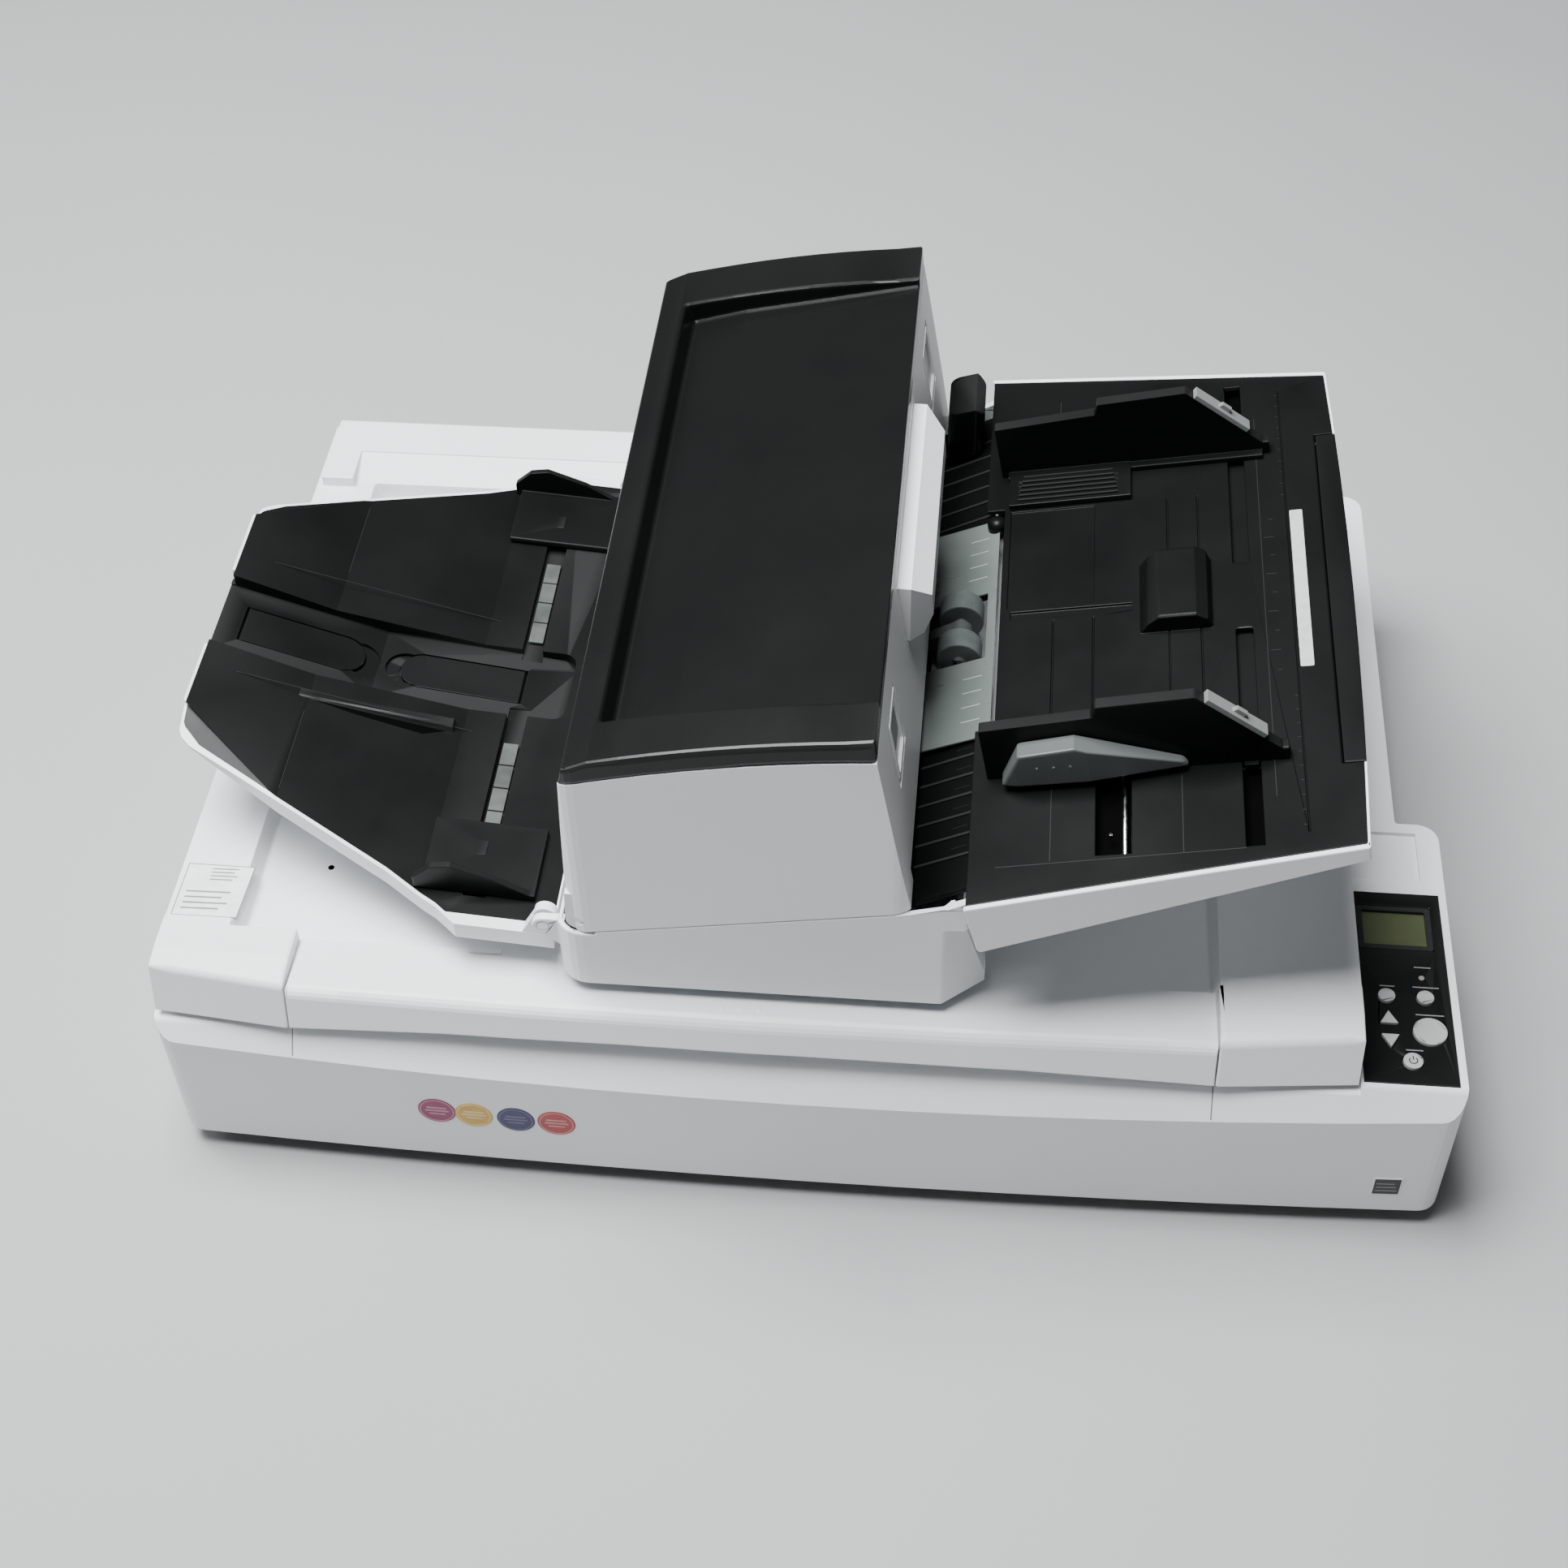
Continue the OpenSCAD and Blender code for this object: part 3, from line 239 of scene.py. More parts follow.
def make_materials():
    made = {}
    white = moulded("white_plastic", (0.76, 0.775, 0.785), 0.42, (0.71, 0.72, 0.72))
    # painted highlights: lighter colour on the sharp edges of the white, black and glossy plastics, where
    # they catch the light
    made["white_plastic"] = white.painted_edge_highlight((0.84, 0.85, 0.85), 0.5)
    black = moulded("black_plastic", (0.0022, 0.0024, 0.0024), 0.4, (0.0042, 0.0043, 0.0042), **DARK)
    made["black_plastic"] = black.painted_edge_highlight((0.022, 0.022, 0.022), 0.7)
    gloss = moulded("black_gloss", (0.004, 0.0044, 0.0043), 0.27, (0.0062, 0.0064, 0.0063), 2200, 0.02,
        Specular_IOR_Level=0.25)
    made["black_gloss"] = gloss.painted_edge_highlight((0.03, 0.03, 0.03), 0.7)
    steel = Surface("steel", (0.58, 0.58, 0.57), 0.34, Metallic=1.0)
    made["steel"] = steel.vary_rough(40, 0.08).grain(400, 0.25, 0.0001, stretch=(1, 12, 12))
    rubber = Surface("rubber", (0.028, 0.028, 0.028), 0.75)
    made["rubber"] = rubber.vary_colour(60, (0.05, 0.05, 0.048)).grain(1200, 0.5, 0.0002)
    roller = Surface("roller_rubber", (0.085, 0.1, 0.097), 0.62)
    made["roller_rubber"] = roller.vary_colour(120, (0.11, 0.128, 0.124)).grain(500, 0.7, 0.0002,
        stretch=(1, 0.1, 1))
    motor = Surface("motor_dark", (0.09, 0.09, 0.09), 0.4, Metallic=0.7)
    made["motor_dark"] = motor.vary_rough(50, 0.08).grain(900, 0.3, 0.0001)
    made["glass"] = Surface("glass", (0.86, 0.93, 0.91), 0.03, Transmission_Weight=0.9, IOR=1.5).grain(6,
        0.01, 0.0002)
    made["lcd"] = Surface("lcd", (0.062, 0.072, 0.036), 0.2).vary_colour(70, (0.07, 0.08, 0.042))
    made["led"] = Surface("led", (0.25, 0.24, 0.22), 0.3).vary_colour(300, (0.3, 0.28, 0.25))
    made["button_gray"] = moulded("button_gray", (0.36, 0.375, 0.365), 0.45, (0.31, 0.32, 0.315))
    made["guide_gray"] = moulded("guide_gray", (0.072, 0.08, 0.078), 0.42, (0.09, 0.098, 0.095))
    clear = Surface("clear_guide", (0.16, 0.185, 0.17), 0.3, Transmission_Weight=0.22, IOR=1.46)
    made["clear_guide"] = clear.vary_colour(25, (0.2, 0.22, 0.205), 0.8).vary_rough(30, 0.06).grain(1800,
        0.2, 0.0001)
    pad = Surface("pad_white", (0.84, 0.84, 0.83), 0.7)
    made["pad_white"] = pad.vary_colour(12, (0.78, 0.78, 0.76), 0.6).grain(800, 0.25, 0.0002)
    board = Surface("board_green", (0.025, 0.13, 0.05), 0.4)
    made["board_green"] = board.vary_colour(150, (0.04, 0.17, 0.08)).grain(700, 0.4, 0.0002)
    # print, stickers, small trim and a painted shade black that the detail pieces use
    made["chrome"] = Surface("chrome", (0.75, 0.75, 0.76), 0.14, Metallic=1.0).vary_rough(200, 0.04)
    made["tip_gray"] = moulded("tip_gray", (0.17, 0.18, 0.175), 0.45, (0.145, 0.152, 0.15))
    made["strip_clear"] = Surface("strip_clear", (0.085, 0.092, 0.088), 0.25).vary_colour(45,
        (0.04, 0.044, 0.042), 0.9)
    # painted shade: a near-black, almost unreflecting sheet laid where hollows and gaps lie in shade
    made["painted_shade"] = Surface("painted_shade", (0.0008, 0.0008, 0.0008), 0.8, Specular_IOR_Level=0.02).grain(900,
        0.2, 0.0001)
    made["seam_gray"] = Surface("seam_gray", (0.2, 0.205, 0.21), 0.7).vary_colour(60, (0.16, 0.165, 0.17))
    made["relief"] = Surface("relief", (0.014, 0.0145, 0.0145), 0.35, Specular_IOR_Level=0.4).grain(1500,
        0.3, 0.0001)
    for name, colour in PRINTS.items():
        made[name] = Surface(name, colour, 0.4).vary_colour(180,
            tuple(0.86 * c for c in colour)).grain(2500, 0.1, 0.00005)
    return {slot: surface.material for slot, surface in made.items()}


PRINTS = {
    "print_white": (0.62, 0.63, 0.63), "print_gray": (0.2, 0.21, 0.21), "print_dark": (0.012, 0.013, 0.013),
    "label_paper": (0.46, 0.475, 0.455), "label_white": (0.8, 0.81, 0.8),
    "label_foil": (0.014, 0.016, 0.016),
    "sticker_magenta": (0.24, 0.035, 0.1), "sticker_amber": (0.6, 0.36, 0.07),
    "sticker_indigo": (0.03, 0.025, 0.1),
    "sticker_red": (0.38, 0.045, 0.05), "ring_magenta": (0.5, 0.2, 0.3), "ring_amber": (0.72, 0.56, 0.3),
    "ring_indigo": (0.12, 0.11, 0.22), "ring_red": (0.6, 0.24, 0.24),
}


# nodes that share a slot with darker ones but are a lighter gray themselves
LIGHTER = {"guide_tip_front": "tip_gray", "guide_tip_back": "tip_gray"}


def dress_nodes(materials):
    for part in frame["record"]["subparts"]:
        mesh = nodes[part["node"]].data
        mesh.materials.clear()
        mesh.materials.append(materials[LIGHTER.get(part["node"], part["material_slot"])])


# ---- rounded edges on the CAD shells ----
# Each radius in millimetres; the long shoulders have larger ones of their own
EDGE_RADII = {
    "base_housing": 1.4, "document_cover": 1.3, "adf_foot": 1.2, "adf_cover": 1.2, "top_tray": 2.0,
    "chute_shell": 0.9, "chute_tray": 0.5, "chute_extension": 0.6, "stacker_shell": 0.8,
    "stacker_tray": 0.8,
    "release_lever": 1.6, "side_guide_front": 1.0, "side_guide_back": 0.6, "guide_release": 1.6,
    "stacker_guide_front": 0.8, "stacker_guide_back": 0.8, "throat_block": 1.0, "panel_plate": 0.4,
    "outer_stopper": 0.4, "inner_stopper": 0.4, "slide_plate": 1.0, "guide_tip_front": 0.5,
    "guide_tip_back": 0.5,
    "menu_button": 0.5, "stop_button": 0.5, "scan_button": 0.6, "power_button": 0.5, "up_button": 0.5,
    "down_button": 0.5, "pick_rollers": 0.8, "brake_roller": 0.5, "feed_roller": 0.5, "rubber_feet": 1.0,
    "base_pan": 0.8, "throat_guide": 0.4, "guide_plate": 0.4, "hinge_brackets": 0.5,
}
# nodes with edges too short or too acute for a free rounding, which would throw spikes
CLAMPED = {"base_housing", "adf_cover", "stacker_shell", "stacker_tray", "release_lever", "throat_block"}
SHARP = math.radians(30)
ROOM = 0.42     # share of a short neighbouring edge that a rounding may take
CREASE = 0.12   # an edge with less rounding than this stays a crease in the shading


def shoulder_radius(name, middle):
    """Own radius of the edge with this middle, if it has one; none where the band meets the corners."""
    at_corner = abs(middle.x) > HALF_WIDTH - 13 and middle.y < SLOPE_TOP + 10
    if name == "base_housing" and at_corner and middle.z > DECK - 25:
        return 0
    if name == "document_cover" and PLATEAU - 8 < middle.z < PLATEAU - 1 and middle.y < -224:
        return 5.0
    if name == "chute_tray" and middle.z > CHUTE_START.z + 20 and abs(middle.y - FEEDER_Y) < 35:
        return 1.5
    if name == "top_tray" and middle.z > 318 and abs(middle.y - FEEDER_Y) > 200:
        return 3.0
    return None


def front_y(x):
    return -HALF_DEPTH + FRONT_BOW * (x / HALF_WIDTH) ** 2


def corner_key(point):
    return tuple(round(c / MM * 100) for c in point)


def sharp_edges(mesh):
    """Each edge where two welded faces meet sharply: its ends as keys, and the ends in millimetres."""
    keys = [corner_key(vertex.co) for vertex in mesh.vertices]
    sides = {}
    for face in mesh.polygons:
        ring = [keys[i] for i in face.vertices]
        for a, b in zip(ring, ring[1:] + ring[:1]):
            if a != b:
                sides.setdefault(frozenset((a, b)), []).append(face.normal.copy())
    found = {}
    for edge, normals in sides.items():
        if len(normals) == 2 and normals[0].angle(normals[1], 0) > SHARP:
            a, b = edge
            found[edge] = (Vector(a) / 100, Vector(b) / 100)
    return found


def rounding_widths(name, radius):
    """Width for each sharp edge, held back where a short edge turns off at either end."""
    sharp = sharp_edges(nodes[name].data)
    touching = {}
    for edge in sharp:
        for key in edge:
            touching.setdefault(key, []).append(edge)
    widths = {}
    for edge, (a, b) in sharp.items():
        own = shoulder_radius(name, (a + b) / 2)
        width = radius if own is None else own
        along = (b - a).normalized()
        for key in edge:
            for other in touching[key]:
                c, d = sharp[other]
                if shoulder_radius(name, (c + d) / 2) == 0:
                    continue
                if other != edge and abs((d - c).normalized().dot(along)) < 0.8:
                    width = min(width, ROOM * (d - c).length)
        widths[edge] = width
    return widths


def round_edges(name, radius):
    piece = nodes[name]
    mesh = piece.data
    widths = rounding_widths(name, radius)
    widest = max(widths.values(), default=radius)
    weights = mesh.attributes.new("bevel_weight_edge", "FLOAT", "EDGE")
    creases = mesh.attributes.get("sharp_edge") or mesh.attributes.new("sharp_edge", "BOOLEAN", "EDGE")
    keys = [corner_key(vertex.co) for vertex in mesh.vertices]
    for edge in mesh.edges:
        a, b = edge.vertices
        width = widths.get(frozenset((keys[a], keys[b])))
        weights.data[edge.index].value = (width or 0) / widest
        creases.data[edge.index].value = width is not None and width < CREASE
    weld = piece.modifiers.new("weld", "WELD")
    weld.merge_threshold = 0.00001
    bevel = piece.modifiers.new("bevel", "BEVEL")
    bevel.width = widest * MM
    bevel.segments = 4 if widest > 3 else 3
    bevel.limit_method = "WEIGHT"
    bevel.use_clamp_overlap = name in CLAMPED
    bevel.miter_outer = "MITER_ARC"
    smooth = piece.modifiers.new("normals", "WEIGHTED_NORMAL")
    smooth.keep_sharp = True
    smooth.weight = 60


# ---- places: each turns (across, up or along, out of the surface) in mm into a point in the row frame ----
def on_front(u, v, out):
    return Vector((u, front_y(u) - out, v)) * MM


def on_panel(u, v, out):
    return Vector((u, v, PANEL_TOP + out)) * MM


def on_level(height):
    return lambda u, v, out: Vector((u, v, height + out)) * MM


def on_chute(u, v, out):
    turn = Matrix.Rotation(-CHUTE_SLOPE, 3, "Y")
    return (CHUTE_START + turn @ Vector((u, v, out))) * MM


def on_wall(u, v, out):
    """On the feeder cover's right wall: u along Y, v up the wall."""
    turn = Matrix.Rotation(-WALL_LEAN, 3, "Y")
    return (WALL_FOOT + turn @ Vector((out, u, v))) * MM


def height_on(profile, x):
    for (x0, z0), (x1, z1) in zip(profile, profile[1:]):
        if x >= x1 or (x1, z1) == profile[-1]:
            return z0 + (z1 - z0) * (x - x0) / (x1 - x0)


def on_stack(u, v, out):
    return Vector((u, FEEDER_Y + v, height_on(STACK_TOP, u) + out)) * MM


def on_handle(u, v, out):
    """Top of the handle bar, which falls a little towards the front."""
    back, front = (-201, PLATEAU - 6.5), (-236, PLATEAU - 4.5)
    share = (v - back[0]) / (front[0] - back[0])
    return Vector((u, v, back[1] + share * (front[1] - back[1]) + out)) * MM


# ---- small pieces ----
def add_piece(name, mesh, material, body):
    piece = bpy.data.objects.new(name, mesh)
    bpy.context.scene.collection.objects.link(piece)
    mesh.materials.append(materials[material])
    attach(piece, body)
    return piece


def ring_points(u, v, radius, count=36, squash=1.0):
    return [(u + radius * math.cos(2 * math.pi * i / count),
        v + squash * radius * math.sin(2 * math.pi * i / count))
            for i in range(count)]


def bar_points(u0, v0, u1, v1, width):
    """Outline of a straight bar between two points."""
    along = Vector((u1 - u0, v1 - v0)).normalized() * (width / 2)
    side = Vector((-along.y, along.x))
    a, b = Vector((u0, v0)), Vector((u1, v1))
    return [tuple(a - side), tuple(b - side), tuple(b + side), tuple(a + side)]


def rounded_points(u0, v0, u1, v1, radius, steps=5):
    points = []
    for cu, cv, start in ((u1 - radius, v0 + radius, -90), (u1 - radius, v1 - radius, 0),
                          (u0 + radius, v1 - radius, 90), (u0 + radius, v0 + radius, 180)):
        for i in range(steps + 1):
            angle = math.radians(start + 90 * i / steps)
            points.append((cu + radius * math.cos(angle), cv + radius * math.sin(angle)))
    return points


def split_outline(outline, longest):
    """The outline with its long sides divided, so that it can follow a bowed surface."""
    points = []
    for (u0, v0), (u1, v1) in zip(outline, outline[1:] + outline[:1]):
        parts = max(1, math.ceil(math.hypot(u1 - u0, v1 - v0) / longest))
        points += [(u0 + (u1 - u0) * i / parts, v0 + (v1 - v0) * i / parts) for i in range(parts)]
    return points


def plate(name, outlines, place, height, material, body, sink=0.2, lip=0.3):
    """One piece from several flat outlines laid on a surface, each with a chamfered upper edge."""
    lip = min(lip, 0.6 * (height + sink))
    maker = bmesh.new()
    for outline in outlines:
        middle = Vector((sum(p[0] for p in outline), sum(p[1] for p in outline))) / len(outline)
        reach = min((Vector(p) - middle).length for p in outline)
        shrink = 1 - min(0.3, lip / max(reach, 0.1))
        inner = [tuple(middle + (Vector(p) - middle) * shrink) for p in outline]
        rings = []
        for points, out in ((outline, -sink), (outline, height - lip), (inner, height)):
            rings.append([maker.verts.new(place(u, v, out)) for u, v in points])
        for low, high in zip(rings, rings[1:]):
            for i in range(len(outline)):
                j = (i + 1) % len(outline)
                maker.faces.new((low[i], low[j], high[j], high[i]))
        maker.faces.new(rings[-1])
        maker.faces.new(list(reversed(rings[0])))
    bmesh.ops.recalc_face_normals(maker, faces=maker.faces)
    mesh = bpy.data.meshes.new(name)
    maker.to_mesh(mesh)
    maker.free()
    return add_piece(name, mesh, material, body)


def ring_plate(name, outer, inner, place, height, material, body, sink=0.2):
    """A flat frame between two outlines that have the same number of points."""
    maker = bmesh.new()
    rings = [[maker.verts.new(place(u, v, out)) for u, v in points]
             for points, out in ((outer, -sink), (outer, height), (inner, height), (inner, -sink))]
    for low, high in zip(rings, rings[1:] + rings[:1]):
        for i in range(len(outer)):
            j = (i + 1) % len(outer)
            maker.faces.new((low[i], low[j], high[j], high[i]))
    bmesh.ops.recalc_face_normals(maker, faces=maker.faces)
    mesh = bpy.data.meshes.new(name)
    maker.to_mesh(mesh)
    maker.free()
    return add_piece(name, mesh, material, body)


def turned(name, start, end, profile, material, body, sides=28):
    """A piece turned around the line from start to end: profile is (distance along, radius) in mm."""
    axis = (end - start).normalized()
    side = axis.orthogonal().normalized()
    other = axis.cross(side)
    maker = bmesh.new()
    rings = []
    for along, radius in profile:
        rings.append([maker.verts.new(start + MM * (axis * along + radius * (
            side * math.cos(2 * math.pi * i / sides) + other * math.sin(2 * math.pi * i / sides))))
            for i in range(sides)])
    for low, high in zip(rings, rings[1:]):
        for i in range(sides):
            j = (i + 1) % sides
            maker.faces.new((low[i], low[j], high[j], high[i]))
    maker.faces.new(rings[-1])
    maker.faces.new(list(reversed(rings[0])))
    bmesh.ops.recalc_face_normals(maker, faces=maker.faces)
    for face in maker.faces:
        face.smooth = len(face.verts) == 4
    mesh = bpy.data.meshes.new(name)
    maker.to_mesh(mesh)
    maker.free()
    return add_piece(name, mesh, material, body)


def rod_profile(length, radius, chamfer=0.4):
    return [(0, radius - chamfer), (chamfer, radius), (length - chamfer, radius),
        (length, radius - chamfer)]


def dome_profile(height, radius, steps=6):
    return [(-0.3, radius), (height * 0.4, radius)] + [
        (height * (0.4 + 0.6 * math.sin(math.pi / 2 * i / steps)),
        radius * math.cos(math.pi / 2 * i / (steps + 0.6)))
        for i in range(1, steps + 1)]


# ---- base ----
def eased_path(start, corner, end, ease, steps=6):
    """From start to end by way of a corner that is rounded over ease on either side."""
    start, corner, end = Vector(start), Vector(corner), Vector(end)
    before = corner + (start - corner).normalized() * ease
    after = corner + (end - corner).normalized() * ease
    arc = [before.lerp(corner, i / steps).lerp(corner.lerp(after, i / steps),
        i / steps) for i in range(steps + 1)]
    return [start, *arc, end]


def seam_on_base(name, x):
    """A thin dark line up the slanting band and back over the deck to the cover."""
    y = front_y(x)
    line = eased_path((y + 0.7, DECK - (SLOPE_TOP - y - 0.7) * SLOPE), (SLOPE_TOP, DECK), (-223, DECK),
        SLOPE_EASE)
    maker = bmesh.new()
    rings = []
    for i, point in enumerate(line):
        ahead = (line[min(i + 1, len(line) - 1)] - line[max(i - 1, 0)]).normalized()
        out = Vector((-ahead.y, ahead.x)) * 0.12
        top, bottom = point + out, point - out * 3
        rings.append([maker.verts.new(Vector((x + dx, p.x, p.y)) * MM)
                      for dx, p in ((-0.35, bottom), (-0.35, top), (0.35, top), (0.35, bottom))])
    for low, high in zip(rings, rings[1:]):
        for i in range(4):
            j = (i + 1) % 4
            maker.faces.new((low[i], low[j], high[j], high[i]))
    maker.faces.new(rings[0])
    maker.faces.new(list(reversed(rings[-1])))
    bmesh.ops.recalc_face_normals(maker, faces=maker.faces)
    mesh = bpy.data.meshes.new(name)
    maker.to_mesh(mesh)
    maker.free()
    add_piece(name, mesh, "seam_gray", "base")


def make_base_details():
    for name, x in (("base_seam_left", -275), ("base_seam_right", 221)):
        seam_on_base(name, x)
    for name, x, z in (("magenta", -199.4, 55.8), ("amber", -178.7, 54.6), ("indigo", -155.1, 53.4),
            ("red", -132.4, 53.0)):
        disc = ring_points(x, z, 10.7, 44)
        plate("sticker_" + name, [disc], on_front, 0.25, "sticker_" + name, "base")
        ring_plate("sticker_ring_" + name, ring_points(x, z, 9.6, 44), ring_points(x, z, 9.0, 44), on_front,
            0.32,
                   "ring_" + name, "base")
        bars = [bar_points(x - 5.6, z + 2.6, x + 5.6, z + 2.6, 1.3),
            bar_points(x - 6.6, z, x + 6.6, z, 1.3),
                bar_points(x - 4.6, z - 2.8, x + 4.6, z - 2.8, 1.1)]
        plate("sticker_bars_" + name, bars, on_front, 0.32, "ring_" + name, "base", lip=0.05)
    make_small_label()
    make_panel_details()


def make_small_label():
    left, low, right, high = 313.5, 28.8, 329.6, 44.6
    plate("corner_label", [rounded_points(left, low, right, high, 0.8)], on_front, 0.2, "label_white",
        "base", lip=0.05)
    plate("corner_label_field", [rounded_points(left + 1, low + 1, right - 1, high - 1, 0.3)], on_front,
        0.28, "label_foil", "base",
          lip=0.05)
    bars = [bar_points(left + 2.2, low + 4.2 + 3.2 * i, right - 2.2 - i, low + 4.2 + 3.2 * i,
        0.8) for i in range(3)]
    plate("corner_label_bars", bars, on_front, 0.34, "print_gray", "base", lip=0.05)


def make_panel_details():
    window_low, window_high = box_mm("lcd_window")
    outer = rounded_points(window_low.x - 2.4, window_low.y - 2.4, window_high.x + 2.4, window_high.y + 2.4,
        1.6)
    inner = rounded_points(window_low.x + 0.6, window_low.y + 0.6, window_high.x - 0.6, window_high.y - 0.6,
        0.8)
    ring_plate("lcd_bezel", outer, inner, on_panel, 0.35, "black_gloss", "base", sink=1.5)
    # short bars stand where the real panel has words
    bars = []
    for (u, v), length in (((315.5, -165.6), 8), ((335.5, -151.6), 9), ((336.2, -165.4), 14),
            ((336.8, -184.2), 15), ((326.8, -208.2), 9)):
        bars += [bar_points(u - length / 2, v + 0.5, u + length / 2, v + 0.5, 0.7)]
    plate("panel_marks", bars, on_panel, 0.1, "print_gray", "base", lip=0.03)
    cap_low, cap_high = box_mm("power_button")
    on_cap = on_level(cap_high.z)
    u, v = (cap_low.x + cap_high.x) / 2, (cap_low.y + cap_high.y) / 2
    arc = [(u + 2.1 * math.sin(math.radians(a)), v + 2.1 * math.cos(math.radians(a))) for a in range(40,
        325, 15)]
    strokes = [bar_points(*a, *b, 0.6) for a,
        b in zip(arc, arc[1:])] + [bar_points(u, v + 0.4, u, v + 2.8, 0.6)]
    plate("power_mark", strokes, on_cap, 0.08, "print_dark", "power", lip=0.02)


# ---- document cover ----
def make_cover_details():
    for i, x in enumerate((-39.6, -29.6, -19.6)):
        at = on_handle(x, -227, 0)
        turned(f"handle_dot_{i}", at, at + Vector((0, 0, MM)), dome_profile(0.9, 1.9, 5), "white_plastic",
            "cover",
               sides=20)
    label = [(-348.2, -189.4), (-311, -189.4), (-309.5, -152.2), (-347.6, -151.8)]
    plate("plateau_label", [label], on_level(PLATEAU), 0.15, "label_white", "cover", lip=0.05)
    bars = [bar_points(-333, -155 - 2.6 * i, -318 - 2 * (i % 2), -154.8 - 2.6 * i, 0.9) for i in range(4)]
    bars += [bar_points(-344, -172 - 4 * i, -319 - 4 * (i % 2), -171.6 - 4 * i, 1.2) for i in range(4)]
    plate("plateau_label_bars", bars, on_level(PLATEAU), 0.2, "print_gray", "cover", lip=0.03)
    ring_plate("plateau_label_border", label,
        [(-347.6, -188.8), (-311.6, -188.8), (-310.1, -152.8), (-347, -152.4)],
               on_level(PLATEAU), 0.2, "seam_gray", "cover")
    tab = rounded_points(-181, -198.5, -163, -194.6, 0.8)
    plate("handle_tab", [tab], on_handle, 0.9, "white_plastic", "cover")
    # painted shade: a thin near-black disc on the cover's valley stands for the dark inside of a hole
    at = Vector((-271.5, -139, 130)) * MM
    turned("valley_hole_painted_shade", at - Vector((0, 0, 0.3 * MM)), at + Vector((0, 0, MM)),
        [(0, 1.8), (0.36, 1.8), (0.4, 1.5)], "painted_shade", "cover")
    make_pad()


def make_pad():
    """The cover's white foam sheet: flat where it is glued, with soft rolled edges and a slight crown."""
    low, high = box_mm("document_pad")
    maker = bmesh.new()
    centre = (low + high) / 2
    rows = []
    levels = [(high.z - 0.1, 2.2), (high.z - 0.9, 0.5), (centre.z, 0.0), (low.z + 1.2, 0.5),
        (low.z + 0.5, 1.8), (low.z + 0.25, 6), (low.z, 40)]
    for z, inset in levels:
        outline = split_outline(rounded_points(low.x + inset, low.y + inset, high.x - inset, high.y - inset,
            5), 20)
        rows.append([maker.verts.new(Vector((u, v, z)) * MM) for u, v in outline])
    for a, b in zip(rows, rows[1:]):
        bmesh.ops.bridge_loops(maker, edges=close_ring(maker, a) + close_ring(maker, b))
    maker.faces.new(rows[-1])
    maker.faces.new(list(reversed(rows[0])))
    bmesh.ops.recalc_face_normals(maker, faces=maker.faces)
    for face in maker.faces:
        face.smooth = len(face.verts) <= 4
    mesh = bpy.data.meshes.new("pad_sheet")
    maker.to_mesh(mesh)
    maker.free()
    pad = add_piece("pad_sheet", mesh, "pad_white", "cover")
    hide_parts("document_pad")


def close_ring(maker, ring):
    edges = []
    for a, b in zip(ring, ring[1:] + ring[:1]):
        edges.append(maker.edges.get((a, b)) or maker.edges.new((a, b)))
    return edges


# ---- feeder ----
def make_feeder_details():
    knob = Vector((92.5, 62, 229.6))
    turned("guide_knob", knob * MM, (knob + Vector((-0.17, 0, 1))) * MM, dome_profile(7, 5.5),
        "black_plastic", "feeder")
    # ribs across the throat, and tick marks beside them
    ribs, ticks = [], []
    for side in (-1, 1):
        for i in range(6):
            y = FEEDER_Y + side * (96 + 14 * i)
            ribs.append(bar_points(58, y, 88, y, 1.6))
            if side < 0:
                ticks.append(bar_points(77, y + 6, 85, y + 6, 0.4))
    dashes = [bar_points(78, FEEDER_Y + side * (40 + 11 * i), 88, FEEDER_Y + side * (40 + 11 * i), 0.5)
              for side in (-1, 1) for i in range(4)]
    plate("paper_dashes", dashes, on_paper_plate, 0.12, "label_paper", "feeder", lip=0.04)
    plate("throat_ribs", ribs, on_throat, 0.8, "black_gloss", "feeder")
    plate("throat_ticks", ticks, on_throat, 0.15, "relief", "feeder", lip=0.04)


def on_throat(u, v, out):
    """On the throat guide's slope up to the chute."""
    x0, z0, x1, z1 = 56, 209, 91, 227
    return Vector((u, v, z0 + (u - x0) * (z1 - z0) / (x1 - x0) + out)) * MM


def on_paper_plate(u, v, out):
    """On the light plate in the throat, which rises towards the chute."""
    x0, z0, x1, z1 = 57.5, 215, 94, 231
    return Vector((u, v, z0 + (u - x0) * (z1 - z0) / (x1 - x0) + out)) * MM


def make_lid_details():
    for name, u in (("front", -162), ("back", 137)):
        outer = rounded_points(u + 3, 53, u + 33, 90, 2)
        inner = rounded_points(u + 5.5, 55.5, u + 30.5, 87.5, 1.4)
        ring_plate("window_frame_" + name, outer, inner, on_wall, 0.2, "white_plastic", "lid",
            sink=1.8)
        plate("window_field_" + name, [rounded_points(u + 12, 64, u + 29, 80, 1)], on_wall, -1.2,
            "print_gray", "lid", sink=1.6, lip=0.02)


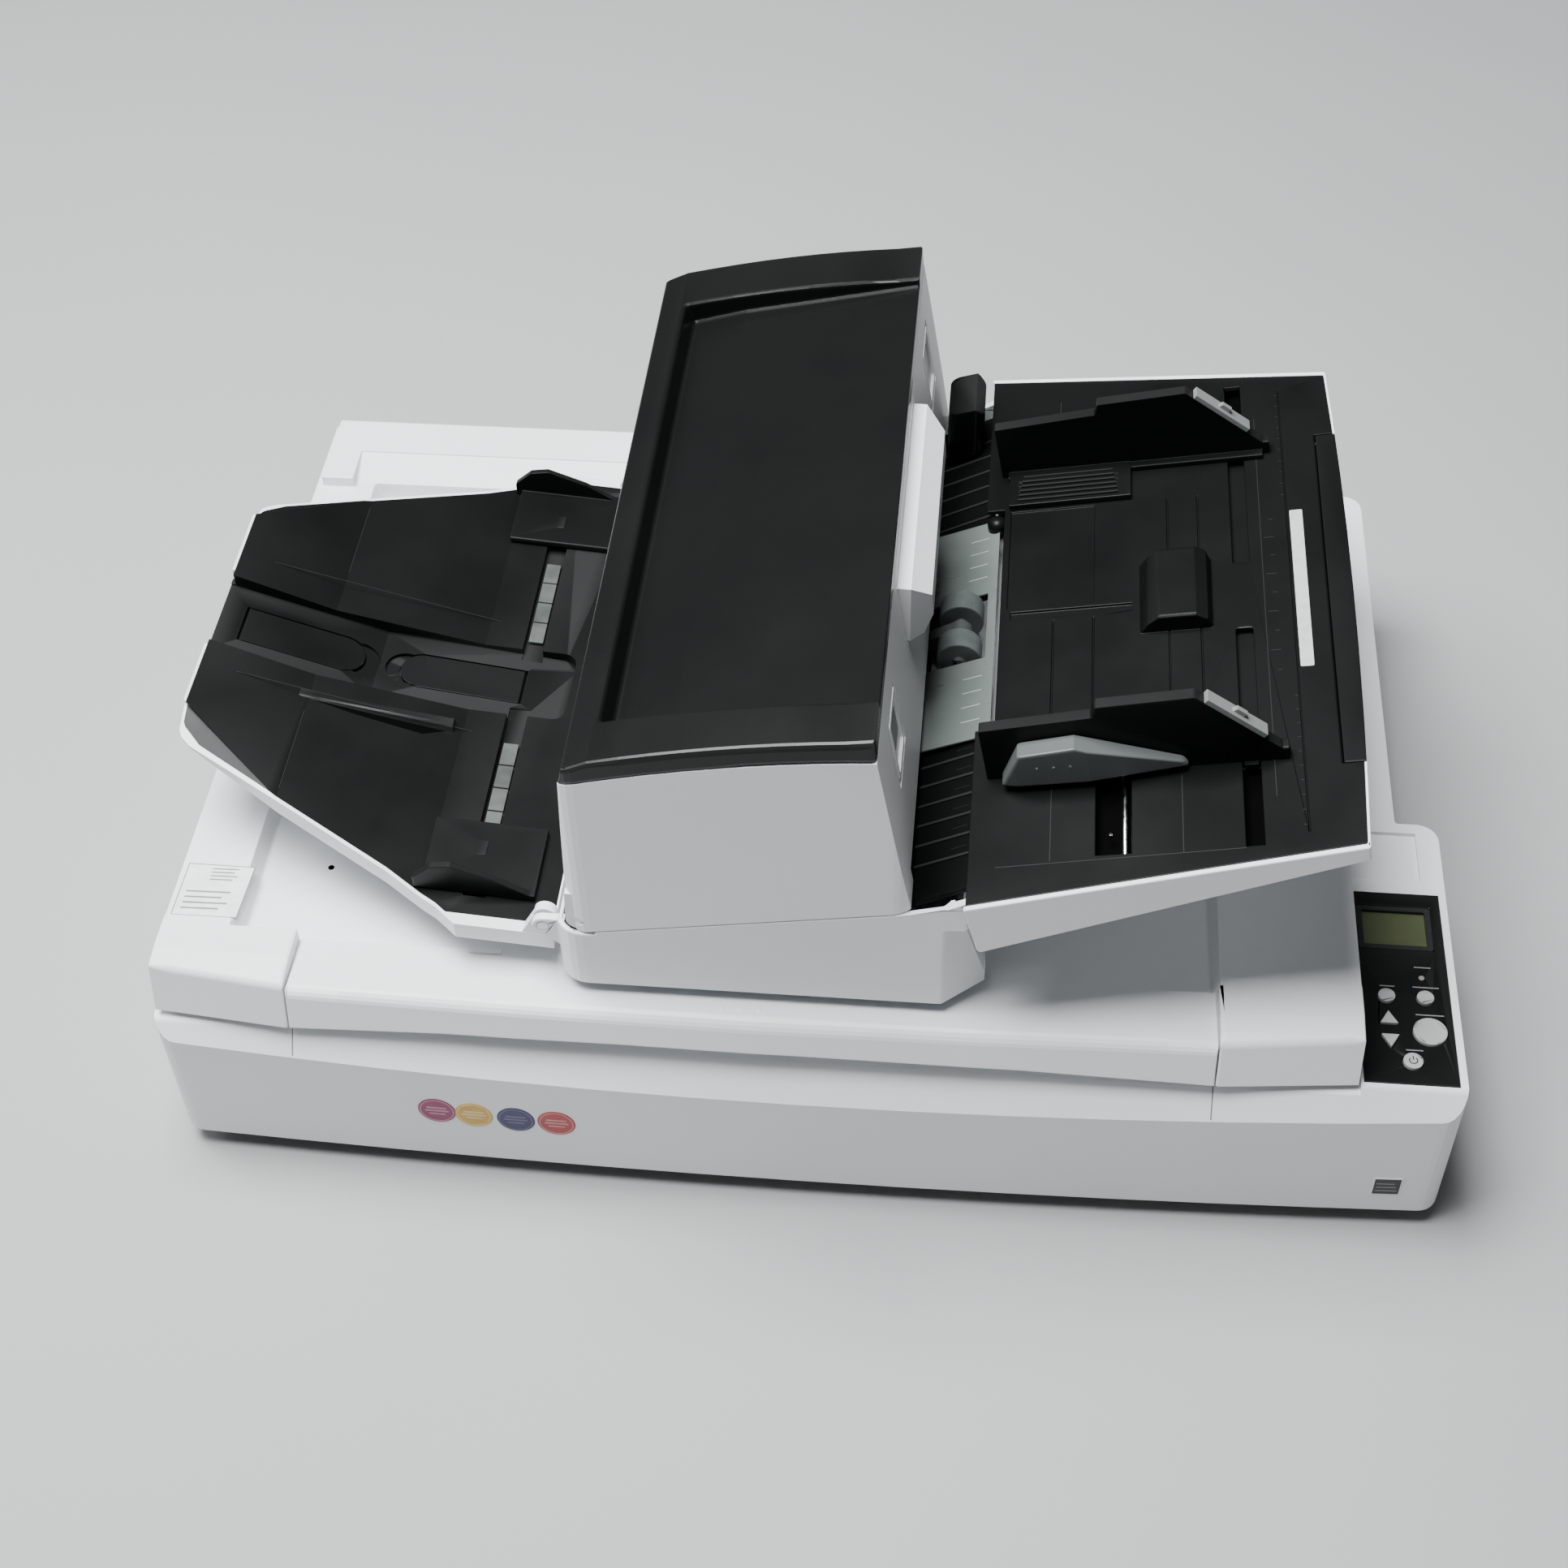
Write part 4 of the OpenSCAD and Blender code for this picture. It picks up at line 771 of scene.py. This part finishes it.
# ---- chute ----
def make_chute_details():
    # painted shade: a near-black sheet inside the chute shell, so that its slots look dark as if in shade
    shade_sheet = [(20, -200), (165, -190), (165, 190), (20, 200)]
    plate("chute_painted_shade", [shade_sheet], on_chute, -8.5, "painted_shade", "chute", sink=9.3, lip=0.1)
    plate("chute_label", [rounded_points(170.3, -59, 177.3, 66, 0.8)], on_chute, -0.15, "label_paper",
        "chute", sink=0.4, lip=0.02)
    ticks = [bar_points(166.2, v, 168, v, 0.4) for v in range(-170, 171, 10) if abs(v) > 70]
    ticks += [bar_points(158.6 - 3 * (i % 2), v, 161, v, 0.5) for i, v in enumerate(range(-60, 70, 15))]
    plate("chute_ruler", ticks, on_chute, -0.22, "relief", "chute", sink=0.3, lip=0.02)
    for side in (-1, 1):
        ends = sorted((side * 94, side * 181))
        start, end = on_chute(78.5, ends[0], -4.5), on_chute(78.5, ends[1], -4.5)
        turned("guide_rod_" + ("front" if side < 0 else "back"), start, end,
            rod_profile((end - start).length / MM, 1.6), "chrome",
               "chute")
    pin = on_chute(71.5, -168, -5)
    turned("slot_pin", pin, on_chute(71.5, -168, 0), rod_profile(4.4, 0.9, 0.2), "chrome", "chute")
    lines = [bar_points(x, -184, x, -131, 0.4) for x in (41.3, 107.5)] + [bar_points(x, 131, x, 184,
        0.4) for x in (41.3, 107.5)]
    lines += [bar_points(14, -186, 138, -183, 0.5), bar_points(154, -150, 154, 150, 0.4)]
    plate("chute_lines", lines, on_chute, -0.18, "relief", "chute", sink=0.3, lip=0.02)


def make_guide_details():
    ribs = [bar_points(18 + 0.6 * i, 92 + 4 * i, 76 - 0.6 * i, 92 + 4 * i, 1.1) for i in range(6)]
    plate("guide_ribs", ribs, on_chute, 4.1, "relief", "guide_back", sink=-3.3, lip=0.3)
    marks = []
    for v in (27, 14):
        marks += [bar_points(20, v, 62, v, 0.7), [(22, v + 3.8), (26.4, v + 3.8), (24.2, v + 1.6)],
                  bar_points(31, v + 2.7, 55, v + 2.7, 0.9)]
    plate("guide_marks", marks, on_guide, 0.12, "print_gray", "guide_back", lip=0.03)
    dots = [ring_points(u, 0, 0.75, 16) for u in (36, 44.5, 53)]
    plate("lever_dots", dots, on_lever, 0.2, "print_gray", "squeeze", lip=0.05)


def on_guide(u, v, out):
    """On the back guide's inner face, which stands along the chute."""
    point = on_chute(u, 0, v)
    return Vector((point.x, (box_mm("side_guide_back")[1].y - GUIDE_THICK - out) * MM, point.z))


def on_lever(u, v, out):
    """On the outer face of the squeeze lever, which stands along the chute."""
    low = box_mm("guide_release")[0]
    point = on_chute(u, 0, 17 + v)
    return Vector((point.x, (low.y - out) * MM, point.z))


# ---- stacker ----
def make_stacker_details():
    for name, ends in (("back", (34, 104)), ("front", (-119, -49))):
        gap = (ends[1] - ends[0]) / 4
        pieces = [bar_points(-177, ends[0] + gap * i + 0.5, -177, ends[0] + gap * (i + 1) - 0.5,
            8.5) for i in range(4)]
        plate("slot_strip_" + name, pieces, on_stack, -2.6, "strip_clear", "stacker", sink=3.8, lip=0.1)
    lines = [bar_points(-200, s * 46, -330, s * 46, 0.4) for s in (-1, 1)]
    lines += [bar_points(-291, s * 58, -291, s * 118, 0.3) for s in (-1, 1)]
    plate("stacker_lines", lines, on_stack, 0.12, "relief", "stacker", sink=0.1, lip=0.03)
    # painted shadow: a flat near-black patch on the tray below the wedge, where its shade falls
    shade = [(-288, -48.6), (-214, -49.6), (-226, -55.5), (-262, -52.4)]
    plate("wedge_painted_shadow", [shade], on_stack, 0.1, "painted_shade", "stacker", sink=0.1, lip=0.03)
    wedge("stacker_wedge")


def wedge(name):
    """A long low ridge beside the channel that rises towards the feeder."""
    start, end, y = -296, -210, -45
    maker = bmesh.new()
    rows = []
    for i in range(9):
        share = i / 8
        x = start + (end - start) * share
        height = 0.3 + 4.2 * share
        half = 2.2 + 1.2 * share
        rows.append([maker.verts.new(on_stack(x, y + v, out)) for v, out in (
            (-half - 1, -0.2), (-half, height * 0.75), (-half + 1.2, height), (half - 1.2, height),
            (half, height * 0.75), (half + 1, -0.2))])
    for a, b in zip(rows, rows[1:]):
        for i in range(6):
            j = (i + 1) % 6
            maker.faces.new((a[i], a[j], b[j], b[i]))
    maker.faces.new(rows[0])
    maker.faces.new(list(reversed(rows[-1])))
    bmesh.ops.recalc_face_normals(maker, faces=maker.faces)
    mesh = bpy.data.meshes.new(name)
    maker.to_mesh(mesh)
    maker.free()
    add_piece(name, mesh, "black_plastic", "stacker")


make_camera()
make_floor()
make_lights()
materials = make_materials()
dress_nodes(materials)
for node_name, edge_radius in EDGE_RADII.items():
    round_edges(node_name, edge_radius)
make_base_details()
make_cover_details()
make_feeder_details()
make_lid_details()
make_chute_details()
make_guide_details()
make_stacker_details()
